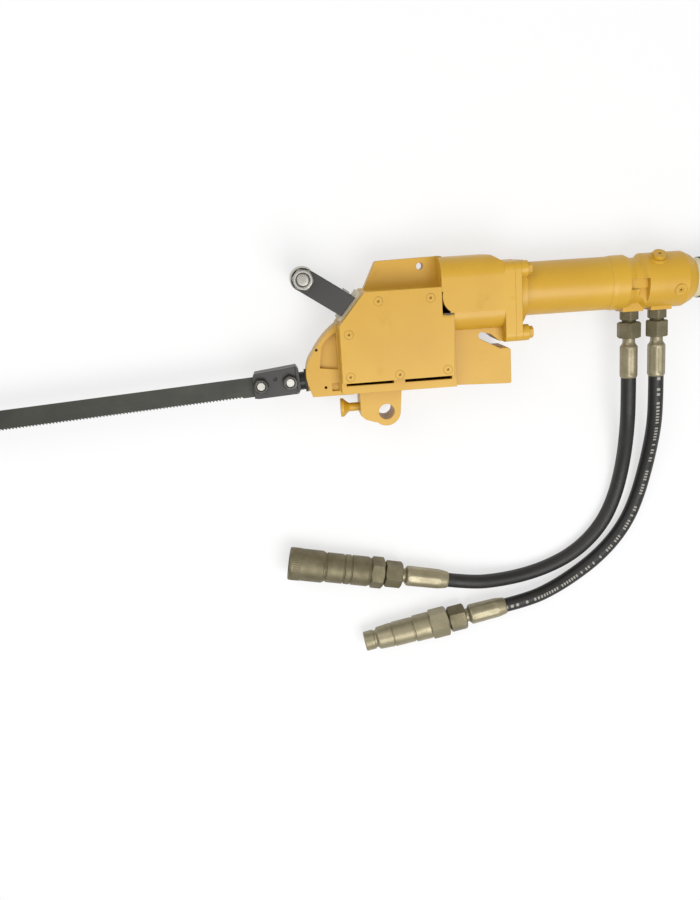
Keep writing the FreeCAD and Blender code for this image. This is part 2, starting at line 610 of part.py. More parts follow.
def blade():
    """A flat blade with raker teeth cut into its lower edge and a square butt."""
    tip_u = BLADE_BUTT_U - BLADE_LENGTH
    top, low = BLADE_HEIGHT / 2, -BLADE_HEIGHT / 2
    count = int((BLADE_LENGTH - 75) / TOOTH_PITCH)
    points = [(BLADE_BUTT_U, top), (tip_u + 4, top), (tip_u, top - 4), (tip_u, low)]
    for k in range(count):
        u = tip_u + 8 + k * TOOTH_PITCH
        points += [(u, low), (u + 0.6, low + TOOTH_DEPTH), (u + 0.45 * TOOTH_PITCH, low + TOOTH_DEPTH)]
    points += [(tip_u + 8 + count * TOOTH_PITCH, low), (BLADE_BUTT_U, low)]
    return cut(slab(points, -half_blade, half_blade), [pin_hole] + bolt_holes)


nodes["blade"] = on_ram(blade())

# ---------------------------------------------------------------- crank drive
to_shaft = math.atan2(SHAFT_Y - CRANK_Y, SHAFT_X - CRANK_X)
pin_x, pin_y = ram_point(FORK_CENTRE_U, CRANK_V)
wheel = slab(gear_points(WHEEL_TEETH, GEAR_MODULE, to_shaft), *WHEEL_Z)
wheel.translate(V(CRANK_X, CRANK_Y, 0))
journal = rod_z(CRANK_X, CRANK_Y, CRANK_BEARING[0], BEARING_FAR_Z, WHEEL_Z[0])
shoulder = rod_z(CRANK_X, CRANK_Y, CRANK_BEARING[0] + 5, BEARING_FAR_Z + CRANK_BEARING[2] + GAP, WHEEL_Z[0])
nodes["crank_wheel"] = fused([wheel, journal, shoulder])
nodes["crank_pin"] = rod_z(pin_x, pin_y, CRANK_PIN_R, WHEEL_Z[0], DIE_HALF)
nodes["crank_wheel"] = nodes["crank_wheel"].cut(nodes["crank_pin"])
die = box(-DIE_HALF, DIE_HALF, -DIE_HALF, DIE_HALF, -DIE_HALF + 0.5, DIE_HALF - 0.5)
die = die.cut(rod_z(0, 0, CRANK_PIN_R + RUN_CLEAR, -DIE_HALF, DIE_HALF))
die.translate(V(FORK_CENTRE_U, CRANK_V, 0))
nodes["die_block"] = on_ram(die)


def bearing(x, y, z0, size, axis="z"):
    """A sealed ball bearing as inner ring, outer ring and shield, drawn as one closed ring."""
    inner_r, outer_r, width = size
    ring = rod_z(0, 0, outer_r, 0, width).cut(rod_z(0, 0, inner_r + RUN_CLEAR, 0, width))
    shield = rod_z(0, 0, outer_r - 3, 0, 0.6).cut(rod_z(0, 0, inner_r + 2.5, 0, 0.6))
    far_shield = shield.copy()
    far_shield.translate(V(0, 0, width - 0.6))
    ring = ring.cut(Part.makeCompound([shield, far_shield]))
    if axis == "x":
        ring.rotate(V(0, 0, 0), V(0, 1, 0), 90)
        ring.translate(V(x, y, 0))
    else:
        ring.translate(V(x, y, z0))
    return ring


nodes["crank_bearing"] = bearing(CRANK_X, CRANK_Y, BEARING_FAR_Z, CRANK_BEARING)
nodes["shaft_bearings"] = Part.makeCompound([
    bearing(SHAFT_X, SHAFT_Y, BEARING_FAR_Z, SHAFT_BEARING),
    bearing(SHAFT_X, SHAFT_Y, -BEARING_FAR_Z - SHAFT_BEARING[2], SHAFT_BEARING)])
pinion_phase = to_shaft + math.pi + math.pi / PINION_TEETH
pinion = slab(gear_points(PINION_TEETH, GEAR_MODULE, pinion_phase), *WHEEL_Z)
nodes["spur_pinion"] = pinion.cut(rod_z(0, 0, SHAFT_BEARING[0], *WHEEL_Z))
nodes["spur_pinion"].translate(V(SHAFT_X, SHAFT_Y, 0))
nodes["countershaft"] = rod_z(SHAFT_X, SHAFT_Y, SHAFT_BEARING[0], BEARING_FAR_Z, -BEARING_FAR_Z)
bevel = bevel_gear(BEVEL_GEAR_TEETH, BEVEL_PINION_TEETH, 0.0)
bevel = bevel.fuse(rod_z(0, 0, BEVEL_GEAR_R - 3, WHEEL_Z[1], -BEVEL_PINION_R + 0.01))
nodes["bevel_gear"] = bevel.cut(rod_z(0, 0, SHAFT_BEARING[0], -20, 0))
nodes["bevel_gear"].translate(V(SHAFT_X, SHAFT_Y, 0))
small_bevel = bevel_gear(BEVEL_PINION_TEETH, BEVEL_GEAR_TEETH, math.pi / BEVEL_PINION_TEETH)
small_bevel = small_bevel.fuse(rod_z(0, 0, BEVEL_PINION_R - 3, -BEVEL_GEAR_R - 10, -BEVEL_GEAR_R + 0.01))
small_bevel = small_bevel.cut(rod_z(0, 0, MOTOR_SHAFT_R, -BEVEL_GEAR_R - 11, 0))
small_bevel.rotate(V(0, 0, 0), V(0, 1, 0), -90)
small_bevel.translate(V(SHAFT_X, AXIS_Y, 0))
nodes["bevel_pinion"] = small_bevel

# ---------------------------------------------------------------- gear motor and its tube
pinion_front_x = SHAFT_X + BEVEL_GEAR_R - 4
bearing_x = FLANGE_X0 + 1
nodes["motor_shaft"] = turned([(pinion_front_x, 0), (pinion_front_x, MOTOR_SHAFT_R),
                               (SHAFT_X + BEVEL_GEAR_R + 10, MOTOR_SHAFT_R),
                               (SHAFT_X + BEVEL_GEAR_R + 10, SHAFT_BEARING[0]),
                               (FLANGE_X1 + 6, SHAFT_BEARING[0]), (FLANGE_X1 + 6, MOTOR_SHAFT_R),
                               (MOTOR_X[2] + 10, MOTOR_SHAFT_R), (MOTOR_X[2] + 10, 0)])
nodes["motor_shaft_bearing"] = bearing(bearing_x - 1, AXIS_Y, 0, SHAFT_BEARING, "x")
idler_y = AXIS_Y - 2 * MOTOR_PITCH_R
shaft_hole = rod_x(MOTOR_X[0], MOTOR_X[3], MOTOR_SHAFT_R + RUN_CLEAR)
idler_hole = rod_x(MOTOR_X[0] + 6, MOTOR_X[3] - 6, MOTOR_SHAFT_R + RUN_CLEAR, idler_y)
tip_room = MOTOR_PITCH_R + 0.95 * MOTOR_MODULE + GAP
gear_rooms = [rod_x(MOTOR_X[1], MOTOR_X[2], tip_room), rod_x(MOTOR_X[1], MOTOR_X[2], tip_room, idler_y)]
pipe_holes = [rod_x(MOTOR_X[2] + 4, MOTOR_X[3], OIL_PIPE_BORE_R, AXIS_Y, z)
              for z in (-OIL_PIPE_OFFSET, OIL_PIPE_OFFSET)]
nodes["motor_front_plate"] = cut(rod_x(MOTOR_X[0], MOTOR_X[1], MOTOR_R), [shaft_hole, idler_hole])
nodes["motor_gear_case"] = cut(rod_x(MOTOR_X[1], MOTOR_X[2], MOTOR_R), gear_rooms)
nodes["motor_rear_plate"] = cut(rod_x(MOTOR_X[2], MOTOR_X[3], MOTOR_R),
                                [shaft_hole, idler_hole] + pipe_holes)


def motor_gear(y, phase, bore):
    """A pump gear about X, with its side faces a little inside the gear case."""
    width = MOTOR_X[2] - MOTOR_X[1] - 2 * GEAR_SIDE_CLEAR
    gear = slab(gear_points(MOTOR_TEETH, MOTOR_MODULE, phase, 25.0), 0, width)
    if bore:
        gear = gear.cut(rod_z(0, 0, MOTOR_SHAFT_R, 0, width))
    gear.rotate(V(0, 0, 0), V(0, 1, 0), 90)
    gear.translate(V(MOTOR_X[1] + GEAR_SIDE_CLEAR, y, 0))
    return gear


nodes["motor_drive_gear"] = motor_gear(AXIS_Y, -math.pi / 2, True)
idler_shaft = rod_x(MOTOR_X[0] + 7, MOTOR_X[3] - 7, MOTOR_SHAFT_R, idler_y)
nodes["motor_idler_gear"] = motor_gear(idler_y, math.pi / 2 + math.pi / MOTOR_TEETH, False).fuse(idler_shaft)
motor_flange = rounded_rect(FLANGE_X1, TUBE_X0, FLANGE_BOTTOM_Y, FLANGE_TOP_Y, HALF_WIDTH, FLANGE_CORNER_R)
waist = rod_x(FLANGE_X1 + 8, TUBE_X0, TUBE_R + 9).fuse(
    [rod_x(FLANGE_X1 + 8, TUBE_X0, 10, y, z) for y, z in FLANGE_BOLTS])
ears = motor_flange.common(waist.fuse(box(FLANGE_X1, FLANGE_X1 + 8, 0, 200, -60, 60)))
nodes["motor_flange"] = cut(ears, flange_bolt_holes(FLANGE_X1, TUBE_X0) + [rod_x(FLANGE_X1, TUBE_X0, TUBE_BORE_R)])
nodes["flange_bolts"] = Part.makeCompound([
    rod_x(FLANGE_X0 + 2, TUBE_X0, FLANGE_BOLT_R, y, z).fuse(
        hexagon_x(TUBE_X0, TUBE_X0 + 5.5, 13, y, z)) for y, z in FLANGE_BOLTS])
nodes["motor_tube"] = rod_x(TUBE_X0, TUBE_END_X, TUBE_R).cut(rod_x(TUBE_X0, TUBE_END_X, TUBE_BORE_R))
nodes["oil_pipes"] = Part.makeCompound([
    rod_x(MOTOR_X[3], TUBE_END_X, OIL_PIPE_R, AXIS_Y, z).cut(
        rod_x(MOTOR_X[3], TUBE_END_X, OIL_PIPE_BORE_R, AXIS_Y, z))
    for z in (-OIL_PIPE_OFFSET, OIL_PIPE_OFFSET)])


# ---------------------------------------------------------------- valve block and twist grip
def radial(angle_deg, x, r0, r1, radius):
    """A rod that stands out of the valve block: angle from +Z towards +Y."""
    a = math.radians(angle_deg)
    out = V(0, math.sin(a), math.cos(a))
    return Part.makeCylinder(radius, r1 - r0, V(x, AXIS_Y, 0) + out * r0, out)


PLUG_ANGLE, PLUG_X, PLUG_R = 56.0, 353.0, 8.5
SCREW_ANGLE, SCREW_X = -20.0, 377.0


def valve_block():
    groove_x = TUBE_END_X + COLLAR_LENGTH
    end_slope = 9.0
    body = turned([(TUBE_END_X, 0), (TUBE_END_X, TUBE_R), (TUBE_END_X + 6, COLLAR_R),
                   (groove_x - 9, COLLAR_R), (groove_x, GROOVE_R), (groove_x + GROOVE_LENGTH - 2, GROOVE_R),
                   (groove_x + GROOVE_LENGTH + 3, VALVE_R), (VALVE_END_X - end_slope - 6, VALVE_R),
                   (VALVE_END_X - 5, VALVE_R - 5), (VALVE_END_X, RING_R + 1),
                   (VALVE_END_X, SPIGOT_R), (SPIGOT_END_X, SPIGOT_R), (SPIGOT_END_X, 0)])
    ports = [box(x - PORT_BOSS_R, x + PORT_BOSS_R, PORT_FACE_Y, AXIS_Y - 12, -PORT_BOSS_R, PORT_BOSS_R)
             for x in PORT_X]
    bosses = [radial(PLUG_ANGLE, PLUG_X, 25, VALVE_R + 1.5, PLUG_R + 3),
              radial(SCREW_ANGLE, SCREW_X, 20, VALVE_R + 1.0, 7.5)]
    body = fused([body] + ports + bosses)
    drillings = [rod_x(TUBE_END_X, SPIGOT_END_X, SPOOL_R + RUN_CLEAR),
                 rod_x(TUBE_END_X, PORT_X[0], OIL_PIPE_BORE_R, AXIS_Y, -OIL_PIPE_OFFSET),
                 rod_x(TUBE_END_X, PORT_X[1], OIL_PIPE_BORE_R, AXIS_Y, OIL_PIPE_OFFSET)]
    for x in PORT_X:
        drillings.append(Part.makeCylinder(OIL_BORE_R, AXIS_Y - PORT_FACE_Y, V(x, PORT_FACE_Y, 0), V(0, 1, 0)))
    drillings += [radial(PLUG_ANGLE, PLUG_X, 24, VALVE_R + 2, PLUG_R - 2),
                  radial(SCREW_ANGLE, SCREW_X, 22, VALVE_R + 2, 3.0),
                  box(314, 337, 133, 146, 27, 40), box(326, 337, 104, 134, 24, 40)]
    return cut(body, drillings)


nodes["valve_block"] = valve_block()
nodes["valve_plug"] = radial(PLUG_ANGLE, PLUG_X, 25, VALVE_R + 1.5, PLUG_R - 2).fuse(
    radial(PLUG_ANGLE, PLUG_X, VALVE_R + 1.5, VALVE_R + 6.5, PLUG_R)).cut(
        radial(PLUG_ANGLE, PLUG_X, VALVE_R + 3.5, VALVE_R + 7, 2.2))
nodes["relief_screw"] = radial(SCREW_ANGLE, SCREW_X, 23, VALVE_R + 0.5, 3.0).cut(
    radial(SCREW_ANGLE, SCREW_X, VALVE_R - 3, VALVE_R + 1, 1.4))
nodes["thrust_ring"] = rod_x(VALVE_END_X, RING_END_X - GAP, RING_R).cut(rod_x(VALVE_END_X, RING_END_X, SPIGOT_R))
spool_slots = [box(x - 6, x + 6, AXIS_Y - SPOOL_R, AXIS_Y - 3, -4, 4) for x in PORT_X]
nodes["spool"] = cut(rod_x(TUBE_END_X + 12, GRIP_END_X - GRIP_END_WALL, SPOOL_R), spool_slots)
sleeve_end = GRIP_END_X - GRIP_END_WALL
nodes["grip_sleeve"] = rod_x(RING_END_X, sleeve_end, GRIP_SLEEVE_R).cut(
    rod_x(RING_END_X, SPIGOT_END_X + 3, SPIGOT_R + RUN_CLEAR)).cut(
        rod_x(SPIGOT_END_X, sleeve_end, SPOOL_R))
nodes["grip_rubber"] = rod_x(RING_END_X, GRIP_END_X, GRIP_R).cut(rod_x(RING_END_X, sleeve_end, GRIP_SLEEVE_R))

# ---------------------------------------------------------------- stirrup handle
pad = box(-20, 23, -PAD_HALF, PAD_HALF, 0, PAD_THICK)
nodes["handle_pad"] = cut(slope_frame(pad), foot_screw_holes())
saddle = slope_frame(box(-14, 14, -ARM_Z[0], ARM_Z[0], PAD_THICK, SADDLE_TOP))
keep_out = slope_frame(box(-80, 80, -80, 80, -80, PAD_THICK))
foot = ((SLOPE_LOW[0] + SLOPE_HIGH[0]) / 2 + 4, (SLOPE_LOW[1] + SLOPE_HIGH[1]) / 2 - 2)
reach = math.dist(foot, HANDLE_BOLT)
arms = []
for z0, z1 in ((ARM_Z[0], ARM_Z[1]), (-ARM_Z[1], -ARM_Z[0])):
    arm = slab([(0, -ARM_HALF), (reach, -ARM_HALF), ((reach + ARM_HALF, 0), (reach, ARM_HALF)),
                (0, ARM_HALF)], z0, z1)
    arm.rotate(V(0, 0, 0), V(0, 0, 1),
               math.degrees(math.atan2(HANDLE_BOLT[1] - foot[1], HANDLE_BOLT[0] - foot[0])))
    arm.translate(V(foot[0], foot[1], 0))
    arms.append(arm.cut(keep_out))
bolt_way = rod_z(HANDLE_BOLT[0], HANDLE_BOLT[1], HANDLE_BOLT_R, -60, 60)
nodes["handle_bracket"] = cut(fused([saddle] + arms), foot_screw_holes() + [bolt_way])
nodes["handle_grip"] = rod_z(HANDLE_BOLT[0], HANDLE_BOLT[1], HANDLE_GRIP_R, -ARM_Z[0], ARM_Z[0]).cut(bolt_way)
nodes["handle_bolt"] = rod_z(HANDLE_BOLT[0], HANDLE_BOLT[1], HANDLE_BOLT_R, -HALF_WIDTH + 1, HALF_WIDTH - 1)
nodes["handle_nuts"] = Part.makeCompound([
    hexagon_z(HANDLE_BOLT[0], HANDLE_BOLT[1], HANDLE_NUT_AF, z0, z0 + 7, 15).cut(bolt_way)
    for z0 in (-ARM_Z[1] - 7, ARM_Z[1])])
nodes["foot_screws"] = Part.makeCompound([
    slope_frame(rod_z(x, y, FOOT_SCREW_R, -11, SADDLE_TOP).fuse(
        rod_z(x, y, FOOT_SCREW_R * 1.6, SADDLE_TOP, SADDLE_TOP + 6)).cut(
            hexagon_z(x, y, FOOT_SCREW_R * 1.4, SADDLE_TOP + 2, SADDLE_TOP + 7)))
    for x, y in FOOT_SCREWS])

# ---------------------------------------------------------------- lock plunger
nodes["plunger_bush"] = rod_x(LUG_FRONT_X, PLUNGER_BUSH_END_X, PLUNGER_BUSH_R, PLUNGER_Y).cut(
    rod_x(LUG_FRONT_X, PLUNGER_STEP_X, PLUNGER_R + RUN_CLEAR, PLUNGER_Y)).cut(
        rod_x(PLUNGER_STEP_X, PLUNGER_BUSH_END_X, PLUNGER_NOSE_R + RUN_CLEAR, PLUNGER_Y))
nodes["lock_plunger"] = turned([(-57, 0), (-57, KNOB_R), (-53.5, KNOB_R), (-50, 8.5), (-46, PLUNGER_R),
                                (PLUNGER_STEP_X - PLUNGER_TRAVEL - GAP, PLUNGER_R),
                                (PLUNGER_STEP_X - PLUNGER_TRAVEL - GAP, PLUNGER_NOSE_R),
                                (-PIVOT_R - 1, PLUNGER_NOSE_R), (-PIVOT_R - 0.2, PLUNGER_NOSE_R - 0.8),
                                (-PIVOT_R - 0.2, 0)],
                               y=PLUNGER_Y)


# ---------------------------------------------------------------- hoses and couplers
def port_parts(x):
    """Adapter, swivel nut and crimped hose end below one port, hanging along -Y."""
    adapter_end = ADAPTER_LENGTH
    nut_end = adapter_end + PORT_NUT_LENGTH + 1
    ferrule_start = nut_end + 8
    adapter = turned([(0, OIL_BORE_R), (0, ADAPTER_R), (adapter_end - 3, ADAPTER_R),
                      (adapter_end - 3, 8.5), (adapter_end + 9, 8.5), (adapter_end + 9, OIL_BORE_R)], y=0)
    nut = hexagon_x(adapter_end, nut_end, PORT_NUT_AF).cut(rod_x(adapter_end, adapter_end + 9, 8.5, 0))
    nut = nut.cut(rod_x(adapter_end + 9, nut_end, 8.0, 0))
    tail = turned([(adapter_end + 9, OIL_BORE_R), (adapter_end + 9, 8.0), (ferrule_start, 8.0),
                   (ferrule_start + 1.5, PORT_FERRULE_R), (ferrule_start + PORT_FERRULE_LENGTH - 2, PORT_FERRULE_R),
                   (ferrule_start + PORT_FERRULE_LENGTH, HOSE_R + 0.3),
                   (ferrule_start + PORT_FERRULE_LENGTH, OIL_BORE_R)], y=0)
    parts = []
    for solid in (adapter, nut, tail):
        solid.rotate(V(0, 0, 0), V(0, 0, 1), -90)
        solid.translate(V(x, PORT_FACE_Y, 0))
        parts.append(solid)
    return parts, PORT_FACE_Y - ferrule_start - PORT_FERRULE_LENGTH


columns = [port_parts(x) for x in PORT_X]
HOSE_START_Y = columns[0][1]
nodes["port_adapters"] = Part.makeCompound([column[0][0] for column in columns])

female_length = math.dist(FEMALE_TIP, FEMALE_HOSE_END)
male_length = math.dist(MALE_TIP, MALE_HOSE_END)
FEMALE_Z = FLOOR_Z + FEMALE_R
MALE_Z = FLOOR_Z + MALE_R


def place_female(solid):
    return along(solid, FEMALE_TIP, FEMALE_HOSE_END, FEMALE_Z)


def place_male(solid):
    return along(solid, MALE_TIP, MALE_HOSE_END, MALE_Z)


body_r = FEMALE_R - 2.0
body = turned([(9, SOCKET_R), (9, body_r), (49, body_r), (49, body_r - 1.3), (51, body_r - 1.3), (51, body_r),
               (74, body_r), (74, body_r - 1.3), (76, body_r - 1.3), (76, body_r), (84, body_r),
               (84, body_r - 1.3), (86, body_r - 1.3), (86, body_r), (110, body_r), (112, body_r - 2),
               (112, 9), (64, 9), (64, POPPET_R + RUN_CLEAR), (SOCKET_END, POPPET_R + RUN_CLEAR),
               (SOCKET_END, SOCKET_R)], y=0)
hexed = hexagon_x(112, FEMALE_BODY_END, 38).cut(rod_x(112, FEMALE_BODY_END, 9, 0))
nodes["female_body"] = place_female(body.fuse(hexed))
nodes["female_sleeve"] = place_female(turned([(0, SOCKET_R + 3), (0, FEMALE_R - 1), (1, FEMALE_R),
                                              (47, FEMALE_R), (47, body_r + RUN_CLEAR),
                                              (3.5, body_r + RUN_CLEAR), (3.5, SOCKET_R + 3)], y=0))


def poppet(front, radius, stem_end):
    """A valve poppet: cone, guided skirt and stem along X."""
    return turned([(front, 0), (front, radius * 0.55), (front + 4, radius), (front + 9, radius), (front + 9, 3),
                   (stem_end, 3), (stem_end, 0)], y=0)


def poppet_spring(start, end, radius, turns):
    """A helical spring along X round a poppet's stem, resting on the back of its skirt."""
    length = end - start - 2 * SPRING_WIRE_R
    helix = Part.makeHelix(length / turns, length, radius)
    ring = Part.Wire(Part.makeCircle(SPRING_WIRE_R, V(radius, 0, 0), V(0, 1, length / turns / 6.28 / radius)))
    coil = Part.Wire(helix.Edges).makePipeShell([ring], True, True)
    coil.rotate(V(0, 0, 0), V(0, 1, 0), 90)
    coil.translate(V(start + SPRING_WIRE_R, 0, 0))
    return coil


female_front = SOCKET_END + GAP
nodes["female_poppet"] = place_female(poppet(female_front, POPPET_R, 62))
nodes["female_spring"] = place_female(poppet_spring(female_front + 9.1, 64 - POPPET_TRAVEL - GAP, 8.5, 4))
nodes["male_body"] = place_male(turned([
    (0, 9), (0, 12.5), (1, 13.5), (14, 13.5), (14, 12), (17, 12), (20, 15.5), (40, 16.8), (40, 16), (41.5, 16),
    (41.5, 17.3), (70, 17.3), (70, 16.5), (72, 16.5), (72, MALE_R), (95, MALE_R), (95, 6.5), (34, 6.5),
    (34, MALE_POPPET_R + RUN_CLEAR), (3, MALE_POPPET_R + RUN_CLEAR), (3, 9)], y=0).fuse(hexagon_x(95, MALE_BODY_END, 36).cut(
        rod_x(95, MALE_BODY_END, 6.5, 0))))
nodes["male_poppet"] = place_male(poppet(3.5, MALE_POPPET_R, 32))
nodes["male_spring"] = place_male(poppet_spring(12.6, 34 - POPPET_TRAVEL - GAP, 5.5, 5))


def hose_end(body_end, length, across_flats, turn):
    """Swivel nut and crimped ferrule behind a coupler."""
    nut_start = body_end + 1.5
    nut_end = nut_start + 24
    nut = hexagon_x(nut_start, nut_end, across_flats, turn=turn).cut(rod_x(nut_start, nut_end, 9.5, 0))
    tail = turned([(body_end, OIL_BORE_R), (body_end, 9.5), (nut_end + 5, 9.5),
                   (nut_end + 7, COUPLER_FERRULE_R), (length - 14, COUPLER_FERRULE_R - 1),
                   (length, HOSE_R + 1.5), (length, OIL_BORE_R)], y=0)
    return nut, tail


female_nut, female_tail = hose_end(FEMALE_BODY_END, female_length, 32, 0)
male_nut, male_tail = hose_end(MALE_BODY_END, male_length, 32, 0)
nodes["hose_nuts"] = Part.makeCompound([column[0][1] for column in columns]
                                       + [place_female(female_nut), place_male(male_nut)])
nodes["hose_ends"] = Part.makeCompound([column[0][2] for column in columns]
                                       + [place_female(female_tail), place_male(male_tail)])


def beyond(tip, hose_end_point, distance, z):
    """A point on a coupler's axis, a distance behind its hose end."""
    length = math.dist(tip, hose_end_point)
    return (hose_end_point[0] + (hose_end_point[0] - tip[0]) / length * distance,
            hose_end_point[1] + (hose_end_point[1] - tip[1]) / length * distance, z)



# the hoses' routes: out of the port, down to the floor, round to the coupler
PRESSURE_ROUTE = [
    (PORT_X[0], HOSE_START_Y, 0), (PORT_X[0], -16, 0), (325, -48, -8), (328, -82, -23), (327, -118, -34),
    (320, -153, HOSE_AXIS_Z), (306, -186, HOSE_AXIS_Z), (284, -214, HOSE_AXIS_Z),
    (256, -236, HOSE_AXIS_Z), (223, -251, HOSE_AXIS_Z), (187, -260, -37), (150, -262, -31),
    beyond(FEMALE_TIP, FEMALE_HOSE_END, 37, FEMALE_Z), (*FEMALE_HOSE_END, FEMALE_Z)]
RETURN_ROUTE = [
    (PORT_X[1], HOSE_START_Y, 0), (PORT_X[1], -16, 0), (362, -49, -8), (363, -84, -23), (360, -120, -34),
    (352, -156, HOSE_AXIS_Z), (338, -190, HOSE_AXIS_Z), (317, -220, HOSE_AXIS_Z),
    (290, -246, HOSE_AXIS_Z), (260, -267, HOSE_AXIS_Z), (228, -283, -34.5),
    beyond(MALE_TIP, MALE_HOSE_END, 36, MALE_Z), (*MALE_HOSE_END, MALE_Z)]
nodes["pressure_hose"] = hose("pressure_hose", PRESSURE_ROUTE)
nodes["return_hose"] = hose("return_hose", RETURN_ROUTE)

# ---------------------------------------------------------------- write the pieces
os.makedirs("parts", exist_ok=True)
for name, shape in nodes.items():
    shape.exportStep(f"parts/{name}.step")
    print(name, len(shape.Solids), shape.isValid(), round(shape.Volume / 1000, 2), "cm3")
print(len(nodes), "nodes; crank", round(CRANK_X, 2), round(CRANK_Y, 2), "shaft", round(SHAFT_X, 2))
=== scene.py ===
# %% [markdown]
# # A hydraulic hacksaw for rescue crews
# The tool lies on its side on a pale floor, with its two hoses curled in front of it.  The packed
# CAD model gives every hard piece its place.  This script dresses it: it carries surfaces round the
# couplers, nuts, grips and hoses, and gives every piece a finish made of nodes, which also rounds
# the casting's edges.
# %% Load the frame
import json
import math
import bpy
import numpy as np
from mathutils import Matrix, Vector


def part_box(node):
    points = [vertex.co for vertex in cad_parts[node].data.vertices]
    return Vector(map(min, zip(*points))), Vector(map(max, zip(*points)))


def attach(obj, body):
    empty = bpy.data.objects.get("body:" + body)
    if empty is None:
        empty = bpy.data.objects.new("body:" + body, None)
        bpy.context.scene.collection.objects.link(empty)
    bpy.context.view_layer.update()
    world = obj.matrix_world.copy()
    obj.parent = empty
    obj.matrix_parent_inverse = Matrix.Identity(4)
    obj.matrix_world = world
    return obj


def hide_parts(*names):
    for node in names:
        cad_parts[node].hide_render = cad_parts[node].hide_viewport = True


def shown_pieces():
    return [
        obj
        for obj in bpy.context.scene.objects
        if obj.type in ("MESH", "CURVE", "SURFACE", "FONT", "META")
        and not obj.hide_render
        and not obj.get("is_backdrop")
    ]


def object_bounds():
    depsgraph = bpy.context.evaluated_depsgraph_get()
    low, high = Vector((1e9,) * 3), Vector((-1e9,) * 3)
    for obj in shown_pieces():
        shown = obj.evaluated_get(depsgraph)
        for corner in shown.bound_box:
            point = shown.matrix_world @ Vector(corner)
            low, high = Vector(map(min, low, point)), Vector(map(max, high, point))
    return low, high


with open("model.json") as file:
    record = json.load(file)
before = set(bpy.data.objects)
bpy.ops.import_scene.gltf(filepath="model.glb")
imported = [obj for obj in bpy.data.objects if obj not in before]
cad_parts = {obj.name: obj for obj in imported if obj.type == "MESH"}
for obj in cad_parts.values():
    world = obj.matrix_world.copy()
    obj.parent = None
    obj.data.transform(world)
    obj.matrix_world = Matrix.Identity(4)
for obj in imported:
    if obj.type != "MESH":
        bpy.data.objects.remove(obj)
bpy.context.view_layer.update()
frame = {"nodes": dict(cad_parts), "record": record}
nodes = frame["nodes"]
mounts = {m["name"]: m for m in frame["record"]["mounts"]}
MM = 0.001
FLOOR_Z = mounts["side_rest"]["pos_m"][2]
print(len(nodes), "CAD nodes, floor at", round(FLOOR_Z / MM, 1), "mm")

# %% [markdown]
# ## The camera
# The camera hangs a good metre above the tool's front and looks almost straight down, a little
# towards the hoses.  A camera object's own axes are the columns of its matrix, so writing the
# matrix down fixes its place and its turn at once.
# %% Camera
CAMERA_PLACE = (-0.11884, 0.21438, 1.14221)
CAMERA_TURN = ((0.99522128, 0.07716964, -0.05982857),
               (-0.06177775, 0.97211276, 0.22623062),
               (0.07561825, -0.22145345, 0.97223467))
camera_data = bpy.data.cameras.new("camera")
camera_data.lens, camera_data.sensor_width = 36.0, 36.0
camera = bpy.data.objects.new("camera", camera_data)
camera.matrix_world = Matrix([(*turn, place) for turn, place in zip(CAMERA_TURN, CAMERA_PLACE)]
                             + [(0, 0, 0, 1)])
bpy.context.scene.collection.objects.link(camera)
bpy.context.scene.camera = camera
print("camera at", CAMERA_PLACE)

# %% [markdown]
# ## Surfaces from grids
# Every new piece is a grid of points.  One direction of the grid runs along the piece, the other
# runs round it.  The points are worked out as whole arrays, and the faces join each point to its
# neighbours.  A ring that joins itself gives a tube, and a tube whose last ring joins its first
# gives a nut or a sleeve with a bore.
# %% Grid to mesh


def skin(name, rings, bored=False, sharp=32.0):
    """A closed mesh over rings, an array of (along, round, xyz) points; bored joins last ring to first.

    Face (i, j) joins points (i, j), (i, j+1), (i+1, j+1), (i+1, j), with j counted round the ring.
    The UV map holds the share of the way along and the share of the way round.
    """
    along, around, _ = rings.shape
    spans = along if bored else along - 1
    i, j = np.meshgrid(np.arange(spans), np.arange(around), indexing="ij")
    far_i, far_j = (i + 1) % along, (j + 1) % around
    quads = np.stack([i * around + j, i * around + far_j, far_i * around + far_j,
                      far_i * around + j], -1).reshape(-1, 4)
    faces = quads.tolist()
    ends = [] if bored else [np.arange(around)[::-1].tolist(),
                             ((along - 1) * around + np.arange(around)).tolist()]
    mesh = bpy.data.meshes.new(name)
    mesh.from_pydata(rings.reshape(-1, 3).tolist(), [], faces + ends)
    u = np.stack([i, i, i + 1, i + 1], -1) / spans
    v = np.stack([j, j + 1, j + 1, j], -1) / around
    flat = np.stack([u, v], -1).reshape(-1, 2)
    padding = np.zeros((sum(map(len, ends)), 2))
    mesh.uv_layers.new(name="along_round").data.foreach_set(
        "uv", np.concatenate([flat, padding]).astype(np.float32).ravel())
    normals = np.cross(rings[:-1, :-1] - rings[:-1, 1:], rings[1:, :-1] - rings[:-1, :-1])
    outwards = rings[:-1, :-1] - rings.mean((0, 1))
    if np.einsum("ijk,ijk->", normals, outwards) > 0:
        mesh.flip_normals()
    mesh.shade_smooth()
    mesh.set_sharp_from_angle(angle=math.radians(sharp))
    piece = bpy.data.objects.new(name, mesh)
    bpy.context.scene.collection.objects.link(piece)
    return piece


